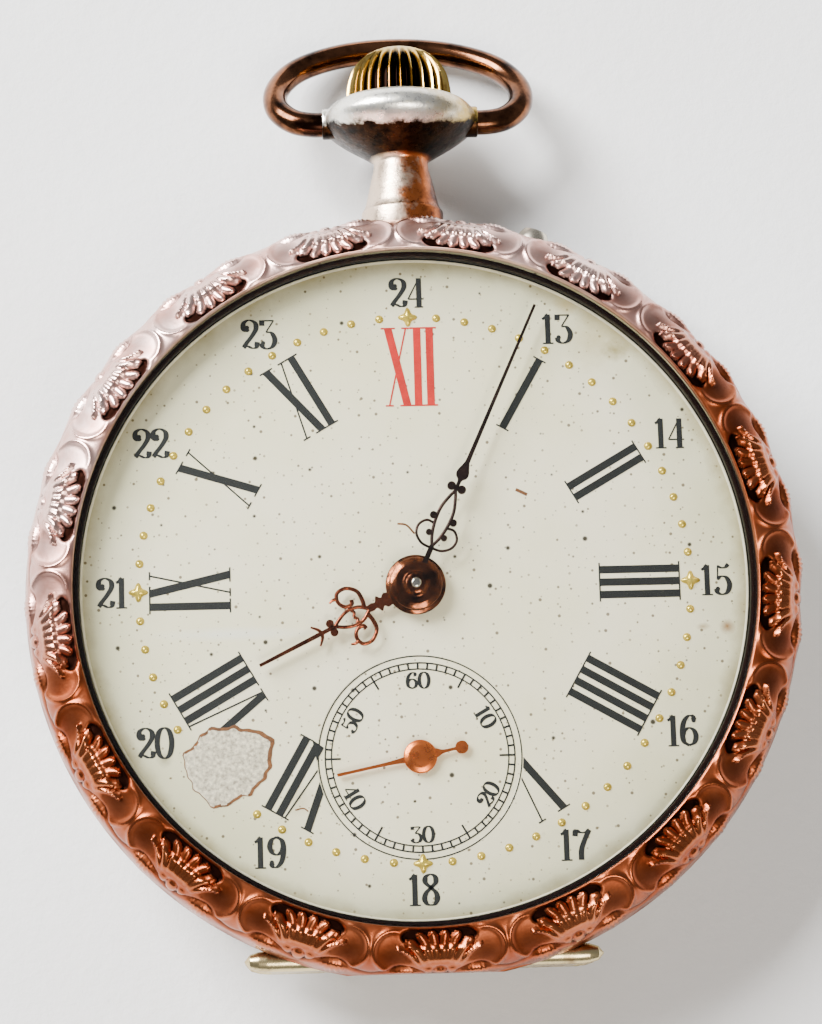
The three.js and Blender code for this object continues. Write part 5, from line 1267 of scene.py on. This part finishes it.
# %% Finishes for the CAD pieces
GILT = plain("brass_frosted_gilt", "#D9B45F", 1.0, 0.42, 0.8, 0.1, 0.02)
STEEL = plain("steel_polished", "#B9BABD", 1.0, 0.18, 1.2, 0.08)
BLUE = plain("steel_blued", "#2A3F8C", 1.0, 0.2, 1.2, 0.15)
SCREW = plain("screw_steel_blued", "#3A4C86", 1.0, 0.18, 0.8, 0.15)
INNER_SILVER = plain("silver_inner_cover_polished", "#C9C4B8", 1.0, 0.22, 4.0, 0.08)
by_slot = {
    "gilt_brass": GILT, "steel": STEEL, "spring_steel": BLUE, "screw_steel": SCREW,
    "case_silver": INNER_SILVER
}
slots = {part["node"]: part["material_slot"] for part in frame["record"]["subparts"]}
painted = 0
for name, made in frame["nodes"].items():
    made.data.materials.clear()
    made.data.materials.append(by_slot.get(slots.get(name), INNER_SILVER))
    painted += 1
print("CAD pieces with a finish", painted)

# %% [markdown]
# ## Floor, light and camera
#
# The watch lies on its back on white paper.  One broad lamp from the upper left gives the highlights and the
# soft shadow to the right; a weak fill keeps the enamel even.  The ring's change from pink to orange is
# painted into its own finish, partly rubbed plating and partly a painted reflection of the lamp side, so it
# stays when the lamps are moved.

# %% Floor
floor_material, floor_tree, floor_surface = finish("paper_pale")
paper = noise(floor_tree, 70, 3.0, 0.5)
floor_tree.links.new(
    mix(floor_tree, steps_of(floor_tree, paper, 0.35, 0.7), linear("#EDEFF0"), linear("#E2DFDD")),
    floor_surface.inputs["Base Color"]
)
floor_surface.inputs["Roughness"].default_value = 0.9
bumped(floor_tree, floor_surface, noise(floor_tree, 1.2, 6.0, 0.7), 0.08)
half = 0.6
floor_mesh = bpy.data.meshes.new("paper_floor")
floor_mesh.from_pydata(
    [(-half, -half, 0), (half, -half, 0), (half, half, 0), (-half, half, 0)], [], [(0, 1, 2, 3)]
)
floor_mesh.materials.append(floor_material)
floor = bpy.data.objects.new("paper_floor", floor_mesh)
floor.location = (0, 0, -0.00002)
bpy.context.scene.collection.objects.link(floor)


# %% Lamps
def lamp(name, place, size, watts, colour="#FFFFFF"):
    """A square lamp in millimetres, facing the dial."""
    data = bpy.data.lights.new(name, "AREA")
    data.energy, data.size, data.color = watts, size * MM, linear(colour)[:3]
    made = bpy.data.objects.new(name, data)
    place = Vector(place) * MM
    made.matrix_world = Matrix.Translation(place) @ (-place).to_track_quat("-Z", "Y").to_matrix().to_4x4()
    bpy.context.scene.collection.objects.link(made)
    return made


lamp("window_upper_left", (-400, 330, 400), 360, 19.5, "#FFFFFF")
lamp("fill_above", (120, -420, 640), 300, 4.5, "#FFF6EA")
world = bpy.data.worlds.new("room")
bpy.context.scene.world = world
world.use_nodes = True
background = world.node_tree.nodes["Background"]
background.inputs["Color"].default_value = linear("#B9BCC0")
background.inputs["Strength"].default_value = 0.55

# %% Camera
VIEW_FROM = 200.0
tilt, swing, roll = math.radians(10.17), math.radians(-2.24), math.radians(-1.64)
target = np.array([-0.14, 4.64, 9.5])
back_axis = np.array([math.sin(swing), -math.sin(tilt), math.cos(tilt)])
back_axis /= np.linalg.norm(back_axis)
right = np.cross([0, 1, 0], back_axis)
right /= np.linalg.norm(right)
upward = np.cross(back_axis, right)
level, rise = right, upward
right = math.cos(roll) * level + math.sin(roll) * rise
upward = -math.sin(roll) * level + math.cos(roll) * rise
camera_data = bpy.data.cameras.new("camera")
camera_data.sensor_fit = "VERTICAL"
camera_data.sensor_height = 36
camera_data.lens = 113.674
camera_data.clip_start, camera_data.clip_end = 0.01, 10
camera = bpy.data.objects.new("camera", camera_data)
place = (target + VIEW_FROM * back_axis) * MM
axes = np.column_stack([right, upward, back_axis]).tolist()
camera.matrix_world = Matrix([[*row, p] for row, p in zip(axes, place)] + [[0, 0, 0, 1]])
bpy.context.scene.collection.objects.link(camera)
bpy.context.scene.camera = camera
